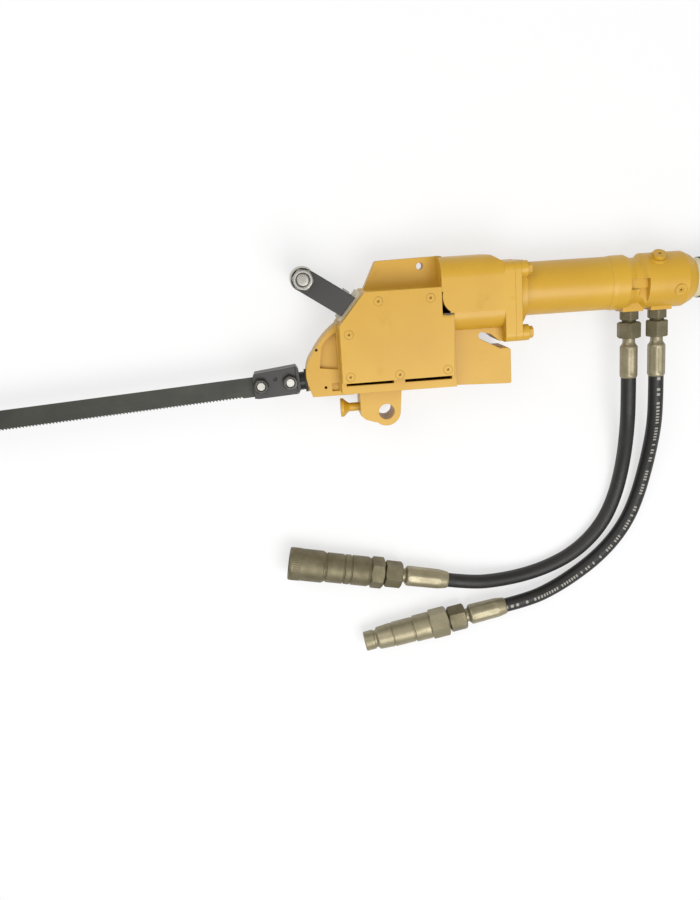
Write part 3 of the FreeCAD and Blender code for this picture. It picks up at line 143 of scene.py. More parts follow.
def eased(profile, trim, steps=4):
    """A profile with its corners rounded: corner B becomes the curve (1-t)^2 A + 2t(1-t) B + t^2 C.

    A and C lie on the two legs, trim from B but never past 0.45 of a leg.
    """
    p = np.asarray(profile, float)
    back, ahead = p[:-2] - p[1:-1], p[2:] - p[1:-1]
    back_len = np.linalg.norm(back, axis=1, keepdims=True)
    ahead_len = np.linalg.norm(ahead, axis=1, keepdims=True)
    reach = np.minimum(trim, 0.45 * np.minimum(back_len, ahead_len))
    a, c = p[1:-1] + back / back_len * reach, p[1:-1] + ahead / ahead_len * reach
    t = np.linspace(0, 1, steps)[None, :, None]
    curve = (1 - t) ** 2 * a[:, None] + 2 * t * (1 - t) * p[1:-1, None] + t ** 2 * c[:, None]
    return np.concatenate([p[:1], curve.reshape(-1, p.shape[1]), p[-1:]])


def finer(profile, step):
    """A profile with extra points so that no leg is longer than step: straight interpolation by length."""
    p = np.asarray(profile, float)
    s = np.concatenate([[0], np.cumsum(np.linalg.norm(np.diff(p, axis=0), axis=1))])
    count = np.maximum(1, np.ceil(np.diff(s) / step).astype(int))
    where = np.concatenate([np.linspace(a, b, n, endpoint=False) for a, b, n in zip(s, s[1:], count)]
                           + [s[-1:]])
    return np.stack([np.interp(where, s, p[:, k]) for k in range(p.shape[1])], -1)


def lathe(name, profile, start, axis, sides=96, bored=False, shape=None, spin=0.0):
    """Carries a profile of (distance along, radius) pairs in mm round an axis.

    A point is start + along * axis + radius * (cos(angle) * side + sin(angle) * up).  shape may
    change the radius: it is called with (along, angle, radius) arrays.
    """
    p = np.asarray(profile, float)
    axis = np.asarray(axis, float) / np.linalg.norm(axis)
    side = np.cross(axis, (0, 0, 1.0)) if abs(axis[2]) < 0.9 else np.array((1.0, 0, 0))
    side /= np.linalg.norm(side)
    up = np.cross(axis, side)
    angle = np.linspace(0, 2 * math.pi, sides, endpoint=False)[None, :]
    along, radius = p[:, :1] + 0 * angle, p[:, 1:] + 0 * angle
    if shape is not None:
        radius = shape(along, angle, radius)
    points = (np.asarray(start, float) + along[..., None] * axis
              + radius[..., None] * (np.cos(angle + spin)[..., None] * side
                                     + np.sin(angle + spin)[..., None] * up))
    return skin(name, points * MM, bored)


def inside_hexagon(across_flats):
    """A shape for lathe: the radius is kept inside a hexagon, flat / cos(angle from the flat's middle)."""
    def shape(along, angle, radius):
        from_flat = np.mod(angle + math.pi / 6, math.pi / 3) - math.pi / 6
        return np.minimum(radius, across_flats / 2 / np.cos(from_flat))
    return shape


def hexagon_nut(name, start, axis, across_flats, height, bore, spin=0.0, top_chamfer=True,
                low_chamfer=True, dish=0.0):
    """A hexagon nut: the 30 degree cone on a face cuts the corners, so they end in curved edges."""
    flat, corner = across_flats / 2, across_flats / math.sqrt(3)
    drop = (corner - flat * 0.95) * math.tan(math.radians(30))
    low = [(dish, bore + 0.6), (0, bore + 1.0), (0, flat * 0.95), (drop, corner)] if low_chamfer else [
        (0, bore), (0, corner)]
    high = [(height - drop, corner), (height, flat * 0.95), (height, bore + 1.0),
            (height - 1.0, bore)] if top_chamfer else [(height, corner), (height, bore)]
    profile = finer(eased([(height / 2, bore)] + low + high + [(height / 2, bore)], 0.25, 3)[:-1], 1.2)
    return lathe(name, profile, start, axis, 96, True, inside_hexagon(across_flats), spin)


print("helpers: skin, eased, finer, lathe, hexagon_nut")

# %% [markdown]
# ## The hoses
# A rubber hose takes the smoothest way it can between its two fittings.  A NURBS spline of order 3
# does the same between a few listed points, so the line comes from such a spline.  The hose's
# skin is then carried along that line, because a printed line on the rubber has to follow the
# hose, and it can only do that with a map of its own along the length.
# %% Hose lines
HOSE_R = 9.75
LAY_Z = FLOOR_Z / MM + HOSE_R
PRESSURE_POINTS = [
    (323, 17, 0), (323, -16, 0), (325, -48, -8), (328, -82, -23), (327, -118, -34),
    (320, -153, LAY_Z), (306, -186, LAY_Z), (284, -214, LAY_Z), (256, -236, LAY_Z),
    (223, -251, LAY_Z), (187, -260, -37), (150, -262, -31), (113.26, -260.35, -25.5),
    (77, -253, -25.5)]
RETURN_POINTS = [
    (360, 17, 0), (360, -16, 0), (362, -49, -8), (363, -84, -23), (360, -120, -34),
    (352, -156, LAY_Z), (338, -190, LAY_Z), (317, -220, LAY_Z), (290, -246, LAY_Z),
    (260, -267, LAY_Z), (228, -283, -34.5), (194.44, -293.68, -29.3), (159, -300, -29.3)]


def spline_line(name, points):
    """The points that a NURBS spline of order 3 with these control points runs through, in metres."""
    curve = bpy.data.curves.new(name, "CURVE")
    curve.dimensions = "3D"
    curve.resolution_u = 16
    spline = curve.splines.new("NURBS")
    spline.points.add(len(points) - 1)
    spline.points.foreach_set("co", np.array([(*p, 1000.0) for p in points]).ravel() * MM)
    spline.order_u = 3
    spline.use_endpoint_u = True
    holder = bpy.data.objects.new(name, curve)
    line = bpy.data.meshes.new_from_object(holder)
    found = np.empty(len(line.vertices) * 3)
    line.vertices.foreach_get("co", found)
    bpy.data.objects.remove(holder)
    return found.reshape(-1, 3)


lines = {"pressure": spline_line("pressure_line", PRESSURE_POINTS),
         "return": spline_line("return_line", RETURN_POINTS)}
lengths = {k: np.linalg.norm(np.diff(v, axis=0), axis=1).sum() for k, v in lines.items()}
print({k: round(v, 4) for k, v in lengths.items()})
# %% [markdown]
# Both hoses lie nowhere near the vertical, apart from their first stretch below the ports, which
# points along -Y.  So the Z axis can stand for "up" all the way: at each point, one side of the
# ring is the line's direction crossed with Z, and the other is that side crossed with the line.
# %% Hose skins


def tube_along(name, line, radius, sides=40):
    """Rings of one radius round a line: centre + radius * (cos(angle) * side + sin(angle) * up)."""
    tangent = np.gradient(line, axis=0)
    tangent /= np.linalg.norm(tangent, axis=1, keepdims=True)
    side = np.cross(tangent, (0, 0, 1.0))
    side /= np.linalg.norm(side, axis=1, keepdims=True)
    up = np.cross(side, tangent)
    angle = np.linspace(0, 2 * math.pi, sides, endpoint=False)[None, :, None]
    rings = line[:, None] + radius * (np.cos(angle) * side[:, None] + np.sin(angle) * up[:, None])
    return skin(name, rings)


hose_skins = {k: tube_along(f"{k}_hose_skin", line, HOSE_R * MM) for k, line in lines.items()}
for key, piece in hose_skins.items():
    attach(piece, "frame")
    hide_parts(f"{key}_hose")
print("hose skins:", [len(p.data.polygons) for p in hose_skins.values()], "faces")

# %% [markdown]
# ## Fittings below the ports
# Each hose hangs from a short hexagon adapter in the valve block.  A swivel nut pulls the hose end
# onto the adapter, and a crimped ferrule grips the rubber.  Crimping leaves eight shallow flats
# with soft ridges between them, so the ferrule's radius is a cosine of eight times the angle.
# %% Port fittings
PORTS_X = (323.0, 360.0)
PORT_FACE_Y = 104.0
DOWN = (0, -1, 0)


def crimped(start, end, depth=0.55):
    """A shape for lathe: eight crimp flats between start and end, radius - depth * (1 + cos(8 angle)) / 2."""
    def shape(along, angle, radius):
        grip = np.clip((along - start) / 3, 0, 1) * np.clip((end - along) / 3, 0, 1)
        return radius - depth * grip * (1 + np.cos(8 * angle)) / 2
    return shape


def dress(piece, body, slot, *replaced):
    """Lets a new piece ride on a body and stand for CAD nodes; slot is not used."""
    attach(piece, body)
    if replaced:
        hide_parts(*replaced)
    return piece


def joined(name, pieces):
    """Several meshes as one, each part kept as it is."""
    with bpy.context.temp_override(active_object=pieces[0], selected_editable_objects=pieces):
        bpy.ops.object.join()
    pieces[0].name = name
    return pieces[0]


adapter_parts = []
for number, (key, x) in enumerate(zip(lines, PORTS_X)):
    top = (x, PORT_FACE_Y, 0)
    adapter = finer(eased([(9, 4.5), (0, 4.5), (0, 12.4), (11, 12.4), (11, 9.4), (14, 8.7), (23, 8.5),
                           (23, 4.5), (9, 4.5)], 0.5, 3)[:-1], 1.5)
    adapter_parts.append(lathe(f"adapter_{number}", adapter, top, DOWN, 96, True, inside_hexagon(22), 0.2))
    port_nut = hexagon_nut(f"{key}_port_nut", (x, PORT_FACE_Y - 14.2, 0), DOWN, 27, 20.6, 8.6,
                           0.12 + 0.25 * number)
    dress(port_nut, "frame", "zinc_steel", "hose_nuts")
    ferrule = finer(eased([(60, 4.5), (23.2, 4.5), (23.2, 8.0), (41, 8.0), (43.5, 9.2), (46, 11.3),
                           (84, 11.3), (87, 10.1), (87, 4.5), (60, 4.5)], 0.8, 4)[:-1], 1.5)
    port_ferrule = lathe(f"{key}_port_ferrule", ferrule, top, DOWN, 96, True, crimped(47, 83))
    dress(port_ferrule, "frame", "zinc_steel", "hose_ends")
dress(joined("port_adapter_skins", adapter_parts), "frame", "zinc_steel", "port_adapters")
print("port fittings:", 3 * len(PORTS_X))

# %% [markdown]
# ## The quick couplers
# A quick coupler is turned steel: a sleeve that slides back, a long body with grooves, a hexagon to
# hold it by, then the hose's own swivel nut and ferrule.  The other hose carries the plug half,
# which tapers in steps to a nose.  All of it is one profile after another round a tilted axis.
# %% Couplers
FEMALE_TIP, FEMALE_END = (-140.0, -209.0, -25.5), (77.0, -253.0, -25.5)
MALE_TIP, MALE_END = (-43.0, -336.0, -29.3), (159.0, -300.0, -29.3)
female_axis = np.subtract(FEMALE_END, FEMALE_TIP)
male_axis = np.subtract(MALE_END, MALE_TIP)
female_length, male_length = np.linalg.norm(female_axis), np.linalg.norm(male_axis)

sleeve_profile = [(25, 20.6), (3.5, 20.6), (3.5, 15), (0, 15), (0, 21.6), (2, 22.5), (15, 22.5),
                  (16, 22.0), (45.5, 22.0), (47, 21.3), (47, 20.6), (25, 20.6)]


def knurl(start, end, count, depth):
    """A shape for lathe: shallow lengthwise flutes, radius - depth * |sin(count * angle / 2)|."""
    def shape(along, angle, radius):
        grip = np.clip((along - start) / 1.2, 0, 1) * np.clip((end - along) / 1.2, 0, 1)
        return radius - depth * grip * np.abs(np.sin(count * angle / 2)) * (radius > 18)
    return shape


sleeve = lathe("female_sleeve_skin", finer(eased(sleeve_profile, 0.7, 4)[:-1], 1.0), FEMALE_TIP,
               female_axis, 240, True, knurl(3.5, 14, 48, 0.35))
dress(sleeve, "coupler_sleeve", "zinc_steel", "female_sleeve")

body_profile = [(64, 11.06), (36, 11.06), (36, 12.0), (9, 12.0), (9, 20.5), (49, 20.5), (49.4, 19.1),
                (51, 19.1), (51.4, 20.5), (74, 20.5), (74.4, 19.1), (76, 19.1), (76.4, 20.5),
                (84, 20.5), (84.4, 19.1), (86, 19.1), (86.4, 20.5), (108, 20.5), (112, 18.6),
                (112, 18.2), (112.5, 18.2), (112.5, 9), (64, 9), (64, 11.06)]
female_body = lathe("female_body_turned", finer(eased(body_profile, 0.5, 4)[:-1], 1.5), FEMALE_TIP,
                    female_axis, 120, True)
female_hex = hexagon_nut("female_body_hexagon", np.add(FEMALE_TIP, female_axis / female_length * 112.4),
                         female_axis, 38, 18.6, 9.0, 0.3)
dress(joined("female_body_skin", [female_body, female_hex]), "frame", "zinc_steel", "female_body")

male_profile = [(50, 6.5), (34, 6.5), (34, 8.05), (3, 8.05), (3, 9), (0, 9), (0, 12.5), (1, 13.5),
                (14, 13.5), (14.3, 12), (17, 12), (20, 15.5), (40, 16.8), (40.3, 16), (41.5, 16),
                (41.8, 17.3), (70, 17.3), (70.3, 16.5), (72, 16.5), (72.3, 18.5), (94, 18.5),
                (95, 17.6), (95, 6.5), (50, 6.5)]
male_turned = lathe("male_body_turned", finer(eased(male_profile, 0.5, 4)[:-1], 1.5), MALE_TIP,
                    male_axis, 120, True)
male_hex = hexagon_nut("male_body_hexagon", np.add(MALE_TIP, male_axis / male_length * 94.8),
                       male_axis, 36, 26.2, 6.5, 0.0)
dress(joined("male_body_skin", [male_turned, male_hex]), "frame", "zinc_steel", "male_body")


def coupler_hose_end(name, tip, axis, length, body_end, spin):
    """The swivel nut and the crimped ferrule behind a coupler."""
    way = np.asarray(axis) / length
    nut = hexagon_nut(f"{name}_coupler_nut", tip + way * (body_end + 1.5), axis, 32, 24, 9.6, spin)
    nut_end = body_end + 25.5
    ferrule = [(length - 30, 4.5), (body_end, 4.5), (body_end, 9.4), (nut_end + 4, 9.4), (nut_end + 7, 13.6),
               (nut_end + 9, 14.0), (length - 13, 13.4), (length - 2, 11.6), (length, 10.8), (length, 4.5),
               (length - 30, 4.5)]
    tail = lathe(f"{name}_coupler_ferrule", finer(eased(ferrule, 0.9, 4)[:-1], 1.5), tip, axis, 96, True,
                 crimped(nut_end + 9, length - 12))
    return nut, tail


for name, tip, axis, length, body_end, spin in (
        ("pressure", FEMALE_TIP, female_axis, female_length, 131, 0.1),
        ("return", MALE_TIP, male_axis, male_length, 121, 0.35)):
    nut, tail = coupler_hose_end(name, np.array(tip), axis, length, body_end, spin)
    dress(nut, "frame", "zinc_steel", "hose_nuts")
    dress(tail, "frame", "zinc_steel", "hose_ends")
print("couplers:", round(female_length), "and", round(male_length), "mm long to their hoses")

# %% [markdown]
# ## The front handle
# The front grip is a rubber sleeve on a bolt between the two arms.  Its ends are rounded over and
# its middle swells a little, which fills the hand.
# %% Front grip and its nuts
low, high = (np.array(c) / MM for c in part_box("handle_grip"))
BOLT_X, BOLT_Y = (low[:2] + high[:2]) / 2
GRIP_HALF, FRONT_GRIP_R = high[2], (high[0] - low[0]) / 2
UP = (0, 0, 1)
s = np.linspace(-1, 1, 61)
grip_radius = (FRONT_GRIP_R - 1.0) + 0.9 * (1 - s ** 2) - 4.5 * np.abs(s) ** 26
front_profile = np.concatenate([[(0, 8.1), (-GRIP_HALF, 8.1)], np.stack([GRIP_HALF * s, grip_radius], -1),
                                [(GRIP_HALF, 8.1)]])
front_grip = lathe("front_grip_skin", finer(front_profile, 2.0), (BOLT_X, BOLT_Y, 0), UP, 96, True)
dress(front_grip, "frame", "pale_plastic", "handle_grip")

arm_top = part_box("handle_bracket")[1].z / MM
nut_high = hexagon_nut("handle_nut_high", (BOLT_X, BOLT_Y, arm_top), UP, 24, 7, 8.0, 0.35)
nut_low = hexagon_nut("handle_nut_low", (BOLT_X, BOLT_Y, -arm_top), (0, 0, -1), 24, 7, 8.0, 0.35)
dress(joined("handle_nut_skins", [nut_high, nut_low]), "frame", "bright_steel", "handle_nuts")
bolt_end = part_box("handle_bolt")[1].z / MM
bolt_profile = eased([(-bolt_end, 0.05), (-bolt_end, 7.0), (-bolt_end + 1.2, 7.9), (bolt_end - 1.2, 7.9),
                      (bolt_end, 7.0), (bolt_end, 0.05)], 0.5, 4)
dress(lathe("handle_bolt_skin", finer(bolt_profile, 4), (BOLT_X, BOLT_Y, 0), UP, 64), "frame", "bright_steel",
      "handle_bolt")
print("front grip", round(2 * FRONT_GRIP_R, 1), "mm across")

# %% [markdown]
# ## Small hexagons
# The clamp's two nuts are hexagons with cut corners, like the handle's.  They share one CAD node,
# so its points are split half way between them, and each half's middle is a nut's place.
# %% Clamp nuts


def corners(node):
    """The points of a CAD node's mesh in mm, as an array with a row for each."""
    co = np.empty(len(nodes[node].data.vertices) * 3)
    nodes[node].data.vertices.foreach_get("co", co)
    return np.round(co.reshape(-1, 3) / MM, 3)


clamp_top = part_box("clamp_plate")[1].z / MM
nut_points = corners("clamp_nuts")
split_x = (nut_points[:, 0].min() + nut_points[:, 0].max()) / 2
nut_places = [(points.min(0) + points.max(0)) / 2 for points in
              (nut_points[nut_points[:, 0] < split_x], nut_points[nut_points[:, 0] > split_x])]
clamp_nut_skins = [hexagon_nut(f"clamp_nut_{k}", (*place[:2], clamp_top), UP, 17, 8, 5.0, spin)
                   for k, (place, spin) in enumerate(zip(nut_places, (0.5, 0.15)))]
dress(joined("clamp_nut_skins", clamp_nut_skins), "ram", "bright_steel", "clamp_nuts")
print("clamp nuts at", [np.round(p[:2], 1).tolist() for p in nut_places])

# %% [markdown]
# ## The rear twist grip
# The rear grip's rubber has a flange at the front, then rings of ridges, and a domed end.  The
# ridges are a raised cosine along the length, cut by lengthwise grooves.
# %% Rear grip
low, high = (np.array(c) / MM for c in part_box("grip_rubber"))
REAR_R, REAR_LENGTH = (high[2] - low[2]) / 2, high[0] - low[0]
TUBE_Y = (low[1] + high[1]) / 2
s = np.linspace(0, REAR_LENGTH - 4, 150)
ridges = REAR_R - 1.5 + 0.8 * np.clip(np.cos(s / 4.2 * 2 * math.pi), 0, 1) * (s > 12) * (s < REAR_LENGTH - 12)
ridges = np.where(s < 5, REAR_R - 0.1, ridges)
dome = [(REAR_LENGTH - 1.5, REAR_R - 3.5), (REAR_LENGTH - 0.2, REAR_R - 9), (REAR_LENGTH, 0.05)]
rear_profile = np.concatenate([[(60, 22.05), (0, 22.05)], np.stack([s, ridges], -1), dome,
                               [(REAR_LENGTH - 5.8, 0.05), (REAR_LENGTH - 5.8, 22.05)]])


def grooves(along, angle, radius):
    """Twelve lengthwise grooves: radius - 0.9 * (a narrow power of the cosine of six times the angle)."""
    ribbed = (along > 10) * (along < REAR_LENGTH - 10) * (radius > REAR_R - 4)
    return radius - 0.9 * ribbed * np.abs(np.cos(6 * angle)) ** 24


rear_grip = lathe("rear_grip_skin", finer(rear_profile, 1.6), (low[0], TUBE_Y, 0), (1, 0, 0), 144, True,
                  grooves)
dress(rear_grip, "twist_grip", "black_rubber", "grip_rubber")
print("rear grip", round(REAR_LENGTH), "mm long")

# %% [markdown]
# ## Shader maths
# A finish is a small calculation over the surface.  The class below wraps a socket, so that sums
# and products can be written as they are in Python, and each one adds its Math node.
# %% Sockets that add up


class Value:
    """A shader socket with arithmetic."""

    def __init__(self, finish, socket):
        self.finish, self.socket = finish, socket

    def math(self, operation, *others, clamp=False):
        sockets = dict(enumerate([self, *others]))
        return self.finish.node("ShaderNodeMath", {"operation": operation, "use_clamp": clamp}, sockets)

    def __add__(self, other):
        return self.math("ADD", other)

    def __sub__(self, other):
        return self.math("SUBTRACT", other)

    def __rsub__(self, other):
        return self.finish.node("ShaderNodeMath", {"operation": "SUBTRACT"}, {0: other, 1: self})

    def __mul__(self, other):
        return self.math("MULTIPLY", other)

    __radd__, __rmul__ = __add__, __mul__

    def between(self, low, high):
        """0 below low, 1 above high, straight in between."""
        return self.finish.node("ShaderNodeMapRange", {"clamp": True},
                                {0: self, 1: low, 2: high, 3: 0.0, 4: 1.0})


class Finish:
    """A material under construction, with one Principled shader."""

    def __init__(self, name, roughness=0.5, metallic=0.0, **constants):
        self.material = bpy.data.materials.new(name)
        self.material.use_nodes = True
        self.tree = self.material.node_tree
        self.shader = self.tree.nodes["Principled BSDF"]
        self.set("Roughness", roughness)
        self.set("Metallic", metallic)
        for socket, value in constants.items():
            self.set(socket.replace("_", " "), value)

    def set(self, socket, value):
        """Sets or links one socket of the Principled shader."""
        self.feed(self.shader.inputs[socket], value)

    def feed(self, target, value):
        if isinstance(value, Value):
            self.tree.links.new(value.socket, target)
        elif hasattr(value, "__len__") and len(value) == 3 and target.type == "RGBA":
            target.default_value = (*value, 1.0)
        else:
            target.default_value = value

    def node(self, kind, settings=None, sockets=None, out=0):
        """Adds a node: its settings first, then its sockets; returns the wanted output."""
        made = self.tree.nodes.new(kind)
        for key, value in (settings or {}).items():
            if key == "stops":
                while len(made.color_ramp.elements) < len(value):
                    made.color_ramp.elements.new(0.5)
                for element, (place, colour) in zip(made.color_ramp.elements, value):
                    element.position, element.color = place, (*colour, 1.0)
            else:
                setattr(made, key, value)
        for key, value in (sockets or {}).items():
            self.feed(made.inputs[key], value)
        return Value(self, made.outputs[out])

    def place(self, stretch=(1, 1, 1)):
        """Object coordinates, stretched along the axes."""
        coordinates = self.node("ShaderNodeTexCoord", out="Object")
        return self.node("ShaderNodeMapping", {}, {"Vector": coordinates, "Scale": stretch})

    def noise(self, scale, detail=4.0, stretch=(1, 1, 1), roughness=0.55):
        """Cloudy noise from 0 to 1, scale in blotches per metre."""
        return self.node("ShaderNodeTexNoise", {}, {"Vector": self.place(stretch), "Scale": scale,
                                                   "Detail": detail, "Roughness": roughness})

    def blend(self, share, first, second):
        """A colour that goes from first to second as share goes from 0 to 1."""
        made = self.tree.nodes.new("ShaderNodeMix")
        made.data_type = "RGBA"
        self.feed(made.inputs[0], share)
        self.feed(made.inputs[6], first)
        self.feed(made.inputs[7], second)
        return Value(self, made.outputs[2])

    def edges(self, radius_mm, low, high):
        """1 on edges and 0 on open faces: how far the rounded normal leaves the true one."""
        soft = self.node("ShaderNodeBevel", {"samples": 6}, {"Radius": radius_mm * MM})
        true = self.node("ShaderNodeNewGeometry", out="Normal")
        same = self.node("ShaderNodeVectorMath", {"operation": "DOT_PRODUCT"}, {0: soft, 1: true},
                         out="Value")
        return (1 - same).between(low, high)

    def relief(self, height, distance_mm, strength=1.0, round_mm=0.0):
        """Sends a height to the shader as bump, over a normal that rounds edges by round_mm."""
        sockets = {"Height": height, "Strength": strength, "Distance": distance_mm * MM}
        if round_mm:
            sockets["Normal"] = self.node("ShaderNodeBevel", {"samples": 6}, {"Radius": round_mm * MM})
        self.set("Normal", self.node("ShaderNodeBump", {}, sockets))


print("shader helpers ready")

# %% [markdown]
# ## Golden enamel
# The casting is sprayed with one coat of golden yellow enamel.  It is a little orange where it is
# thick, paler where handling has polished it, and it has chipped along a few edges down to primer.
# The spray leaves a faint orange-peel skin.
# %% Enamel


def enamel(name, colour, deep, chip=(0.30, 0.27, 0.20), wear=0.5):
    """Sprayed paint: two tones by cloud noise, chips where an edge and a noise agree, orange peel."""
    f = Finish(name, Coat_Weight=0.15, Coat_Roughness=0.25)
    clouds = f.noise(9, 5).between(0.32, 0.72)
    rub = f.noise(60, 6, (1, 1, 1), 0.7)
    edge = f.edges(1.6, 0.02, 0.30)
    chips = (edge * rub).between(0.52 - 0.06 * wear, 0.60 - 0.06 * wear)
    polished = edge * 0.55
    base = f.blend(clouds, colour, deep)
    base = f.blend(polished, base, tuple(min(1.0, c * 1.16 + 0.02) for c in colour))
    grime = f.noise(28, 8, (1, 1, 1), 0.68).between(0.60, 0.86)
    base = f.blend(grime * 0.35, base, tuple(c * 0.55 for c in deep))
    f.set("Base Color", f.blend(chips, base, chip))
    f.set("Roughness", 0.42 + grime * 0.22 + chips * 0.2 + rub * 0.06)
    f.set("Metallic", chips * 0.5)
    f.relief(f.noise(700, 3) * 0.6 + f.noise(90, 3) * 0.4 - chips * 1.5, 0.12, 0.5, 1.3)
    return f.material


YELLOW, YELLOW_DEEP = (0.600, 0.345, 0.020), (0.535, 0.292, 0.016)
finishes = {"yellow": enamel("golden_enamel", YELLOW, YELLOW_DEEP),
            "black": enamel("black_enamel", (0.012, 0.011, 0.010), (0.020, 0.018, 0.016),
                            (0.16, 0.15, 0.13), 0.3)}
print("enamel:", list(finishes))

# %% [markdown]
# ## Metals
# The fittings are zinc plated and have gone a dull olive grey, with turning marks round them.  The
# blade is dark rolled steel, brushed along its length.  Gears and shafts are bare and oiled.
# %% Metals


def metal(name, light, dark, roughness, metallic=0.9, grain=(1, 1, 1), grain_scale=500, mottle=40,
          worn=0.35, round_mm=0.4):
    """Plated or bare metal: cloudy mottling, a fine directed grain, and bright worn edges."""
    f = Finish(name)
    clouds = f.noise(mottle, 5, (1, 1, 1), 0.62).between(0.3, 0.72)
    fine = f.noise(grain_scale, 2, grain)
    edge = f.edges(0.7, 0.03, 0.35) * worn
    base = f.blend(clouds, dark, light)
    base = f.blend(fine * 0.35, base, tuple(c * 0.6 for c in dark))
    f.set("Base Color", f.blend(edge, base, tuple(min(1.0, c * 1.5 + 0.05) for c in light)))
    f.set("Roughness", roughness + clouds * -0.10 + fine * 0.12)
    f.set("Metallic", metallic)
    f.relief(fine, 0.05, 0.35, round_mm)
    return f.material


ZINC_GRAIN = (4.0, 1.0, 1.0)
finishes.update({
    "zinc": metal("olive_zinc", (0.235, 0.205, 0.125), (0.135, 0.115, 0.062), 0.50, 0.55, ZINC_GRAIN,
                  400, 55),
    "pale_zinc": metal("pale_zinc", (0.40, 0.355, 0.235), (0.27, 0.235, 0.145), 0.42, 0.6, ZINC_GRAIN,
                       400, 50),
    "plated": metal("plated_steel", (0.48, 0.47, 0.43), (0.30, 0.29, 0.26), 0.36, 0.9),
    "dark_nut": metal("blackened_steel", (0.11, 0.105, 0.095), (0.05, 0.048, 0.042), 0.42, 0.8,
                      worn=0.9),
    "gear": metal("ground_steel", (0.44, 0.44, 0.43), (0.31, 0.31, 0.30), 0.30, 1.0),
    "blade": metal("blade_steel", (0.060, 0.062, 0.048), (0.032, 0.034, 0.026), 0.46, 0.35,
                   (0.04, 1.0, 1.0), 900, 14, 0.5, 0.2),
    "bronze": metal("bearing_bronze", (0.62, 0.40, 0.17), (0.44, 0.27, 0.11), 0.34, 1.0),
    "aluminium": metal("machined_aluminium", (0.66, 0.66, 0.66), (0.5, 0.5, 0.5), 0.36, 1.0),
    "ram": metal("black_ram_steel", (0.030, 0.029, 0.027), (0.016, 0.015, 0.014), 0.34, 0.5,
                 (0.1, 1, 1), 500, 20, 0.4)})
print("metals:", len(finishes) - 2)

# %% [markdown]
# ## Rubber and pale plastic
# Hose rubber is cured in wet cloth, which leaves a fine slanting weave on it.  One hose carries a
# pale printed line, here a plain row of strokes with no words.  The grips are plain moulded rubber,
# and the front one is a pale grey that hands have darkened.
# %% Rubber


def hose_rubber(name, length_m, printed):
    """Black rubber with a cloth mark; where printed, pale strokes along the upper side."""
    f = Finish(name, 0.46)
    uv = f.node("ShaderNodeUVMap", {"uv_map": "along_round"})
    along = f.node("ShaderNodeSeparateXYZ", {}, {0: uv}, out=0) * (length_m / MM)
    around = f.node("ShaderNodeSeparateXYZ", {}, {0: uv}, out=1) * (2 * math.pi * HOSE_R)
    weave = ((along + around).math("MULTIPLY", 3.6).math("SINE")
             * (along - around).math("MULTIPLY", 3.6).math("SINE")).math("ABSOLUTE")
    dust = f.noise(35, 6).between(0.52, 0.85)
    base = f.blend(dust * 0.35, (0.0075, 0.0068, 0.006), (0.034, 0.031, 0.027))
    if printed:
        off_line = (around - 0.25 * 2 * math.pi * HOSE_R).math("ABSOLUTE")
        on_line = 1 - off_line.between(2.0, 2.3)
        cell = along.math("DIVIDE", 4.6)
        seed = f.node("ShaderNodeTexWhiteNoise", {"noise_dimensions": "1D"}, {"W": cell.math("FLOOR")})
        gap = cell.math("FRACT").math("SUBTRACT", 0.36).math("ABSOLUTE")
        stroke = (1 - gap.between(0.24, 0.28)) * seed.math("GREATER_THAN", 0.30)
        base = f.blend(on_line * stroke * 0.6, base, (0.52, 0.50, 0.42))
    f.set("Base Color", base)
    f.set("Roughness", 0.44 + dust * 0.25)
    f.relief(weave, 0.10, 0.5)
    return f.material


def moulded(name, light, dark, roughness, dirt=0.5, round_mm=0.6):
    """Moulded rubber or plastic: slight tone clouds, hand dirt, and a fine satin grain."""
    f = Finish(name, roughness)
    clouds = f.noise(30, 5).between(0.3, 0.7)
    soil = f.noise(75, 7, (1, 1, 1), 0.7).between(0.50, 0.78)
    base = f.blend(clouds, light, dark)
    f.set("Base Color", f.blend(soil * dirt, base, tuple(c * 0.35 for c in dark)))
    f.set("Roughness", roughness + soil * 0.12)
    f.relief(f.noise(1400, 2) + clouds * 0.3, 0.06, 0.5, round_mm)
    return f.material


finishes.update({
    "pressure_rubber": hose_rubber("hose_rubber", float(lengths["pressure"]), False),
    "return_rubber": hose_rubber("hose_rubber_printed", float(lengths["return"]), True),
    "grip_rubber": moulded("grip_rubber", (0.012, 0.011, 0.010), (0.020, 0.018, 0.016), 0.55, 0.2),
    "pale": moulded("pale_grip_rubber", (0.56, 0.53, 0.44), (0.40, 0.375, 0.30), 0.5, 0.55),
    "cream": moulded("cream_plastic", (0.66, 0.60, 0.42), (0.55, 0.47, 0.30), 0.42, 0.25)})
print("finishes:", len(finishes))

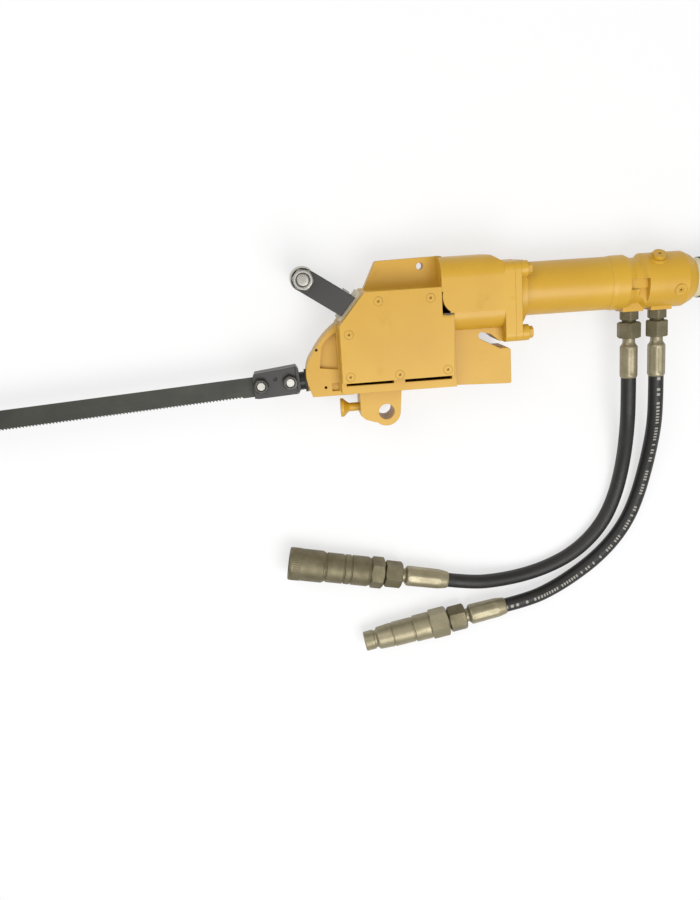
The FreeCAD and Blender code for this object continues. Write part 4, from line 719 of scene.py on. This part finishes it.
# %% [markdown]
# ## Which piece gets which finish
# Every piece is listed once, by the finish it takes.
# %% Finishes to pieces
GIVEN = {
    "yellow": "housing side_cover cover_screws motor_flange flange_bolts motor_tube valve_block valve_plug "
              "relief_screw plunger_bush lock_plunger",
    "black": "blade_holder clamp_plate handle_bracket",
    "ram": "ram locating_pin",
    "blade": "blade",
    "plated": "clamp_bolts handle_nut_skins handle_bolt_skin foot_screws guide_rod oil_pipes female_spring "
              "male_spring",
    "dark_nut": "clamp_nut_skins",
    "gear": "crank_wheel crank_pin crank_bearing shaft_bearings spur_pinion countershaft bevel_gear "
            "bevel_pinion motor_shaft motor_shaft_bearing motor_drive_gear motor_idler_gear spool",
    "aluminium": "motor_front_plate motor_gear_case motor_rear_plate grip_sleeve",
    "bronze": "ram_bush die_block",
    "zinc": "port_adapter_skins pressure_port_nut return_port_nut pressure_coupler_nut return_coupler_nut "
            "female_body_skin female_sleeve_skin female_poppet",
    "pale_zinc": "male_body_skin male_poppet pressure_port_ferrule return_port_ferrule "
                 "pressure_coupler_ferrule return_coupler_ferrule",
    "grip_rubber": "rear_grip_skin ram_wiper",
    "pale": "front_grip_skin",
    "cream": "handle_pad thrust_ring",
    "pressure_rubber": "pressure_hose_skin",
    "return_rubber": "return_hose_skin"}
for finish, names in GIVEN.items():
    for name in names.split():
        mesh = bpy.data.objects[name].data
        mesh.materials.clear()
        mesh.materials.append(finishes[finish])
bare = [o.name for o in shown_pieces() if not o.data.materials or not o.data.materials[0].use_nodes
        or o.data.materials[0] not in finishes.values()]
print("pieces without a finish of their own:", bare)

# %% [markdown]
# ## Floor and light
# A pale floor takes the tool's soft shadow.  Two wide lamps and an even sky light it at a level at
# which a colour renders about as it is written.
# %% Floor and lamps
floor_mesh = bpy.data.meshes.new("floor")
FLOOR_HALF, FLOOR_TOP = 6, FLOOR_Z - 0.0006
floor_mesh.from_pydata([(x, y, FLOOR_TOP) for x, y in ((-FLOOR_HALF, -FLOOR_HALF), (FLOOR_HALF, -FLOOR_HALF),
                                                       (FLOOR_HALF, FLOOR_HALF), (-FLOOR_HALF, FLOOR_HALF))],
                       [], [(0, 1, 2, 3)])
floor = bpy.data.objects.new("floor", floor_mesh)
bpy.context.scene.collection.objects.link(floor)
floor_finish = Finish("pale_floor", 0.7)
floor_finish.set("Base Color", floor_finish.blend(floor_finish.noise(3, 3), (0.86, 0.86, 0.86),
                                                  (0.82, 0.82, 0.82)))
rays = floor_finish.tree.nodes.new("ShaderNodeLightPath")
seen = [Value(floor_finish, rays.outputs[k])
        for k in ("Is Camera Ray", "Is Glossy Ray", "Is Transmission Ray")]
white = floor_finish.node("ShaderNodeEmission", {}, {"Color": (1.0, 1.0, 1.0), "Strength": 1.0})
WHITE_SHARE = 0.62
share = seen[0].math("MAXIMUM", seen[1]).math("MAXIMUM", seen[2]) * WHITE_SHARE
plain = Value(floor_finish, floor_finish.shader.outputs[0])
mixed = floor_finish.node("ShaderNodeMixShader", {}, {0: share, 1: plain, 2: white})
floor_finish.tree.links.new(mixed.socket, floor_finish.tree.nodes["Material Output"].inputs["Surface"])
floor_mesh.materials.append(floor_finish.material)
floor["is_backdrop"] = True


def lamp(name, place, target, size, power):
    """A square area lamp that points from its place at a target."""
    data = bpy.data.lights.new(name, "AREA")
    data.shape, data.size, data.energy = "SQUARE", size, power
    light = bpy.data.objects.new(name, data)
    away = np.subtract(place, target)
    light.matrix_world = Matrix.Translation(place) @ Vector(away).to_track_quat("Z", "Y").to_matrix().to_4x4()
    bpy.context.scene.collection.objects.link(light)
    return light


lamp("key_lamp", (0.5, -0.9, 2.3), (0.1, 0.0, 0.0), 1.6, 42)
lamp("fill_lamp", (-1.4, 1.3, 2.0), (0.0, 0.0, 0.0), 2.0, 22)
world = bpy.data.worlds.new("sky")
bpy.context.scene.world = world
world.use_nodes = True
world.node_tree.nodes["Background"].inputs["Color"].default_value = (1.0, 1.0, 1.0, 1.0)
world.node_tree.nodes["Background"].inputs["Strength"].default_value = 0.55
bpy.context.scene.view_settings.view_transform = "Standard"

# %% [markdown]
# ## Finish
# The box of the dressed tool is printed, in metres.
# %% Sizes
low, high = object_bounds()
print("dressed  ", [round(v, 4) for v in (*low, *high)])
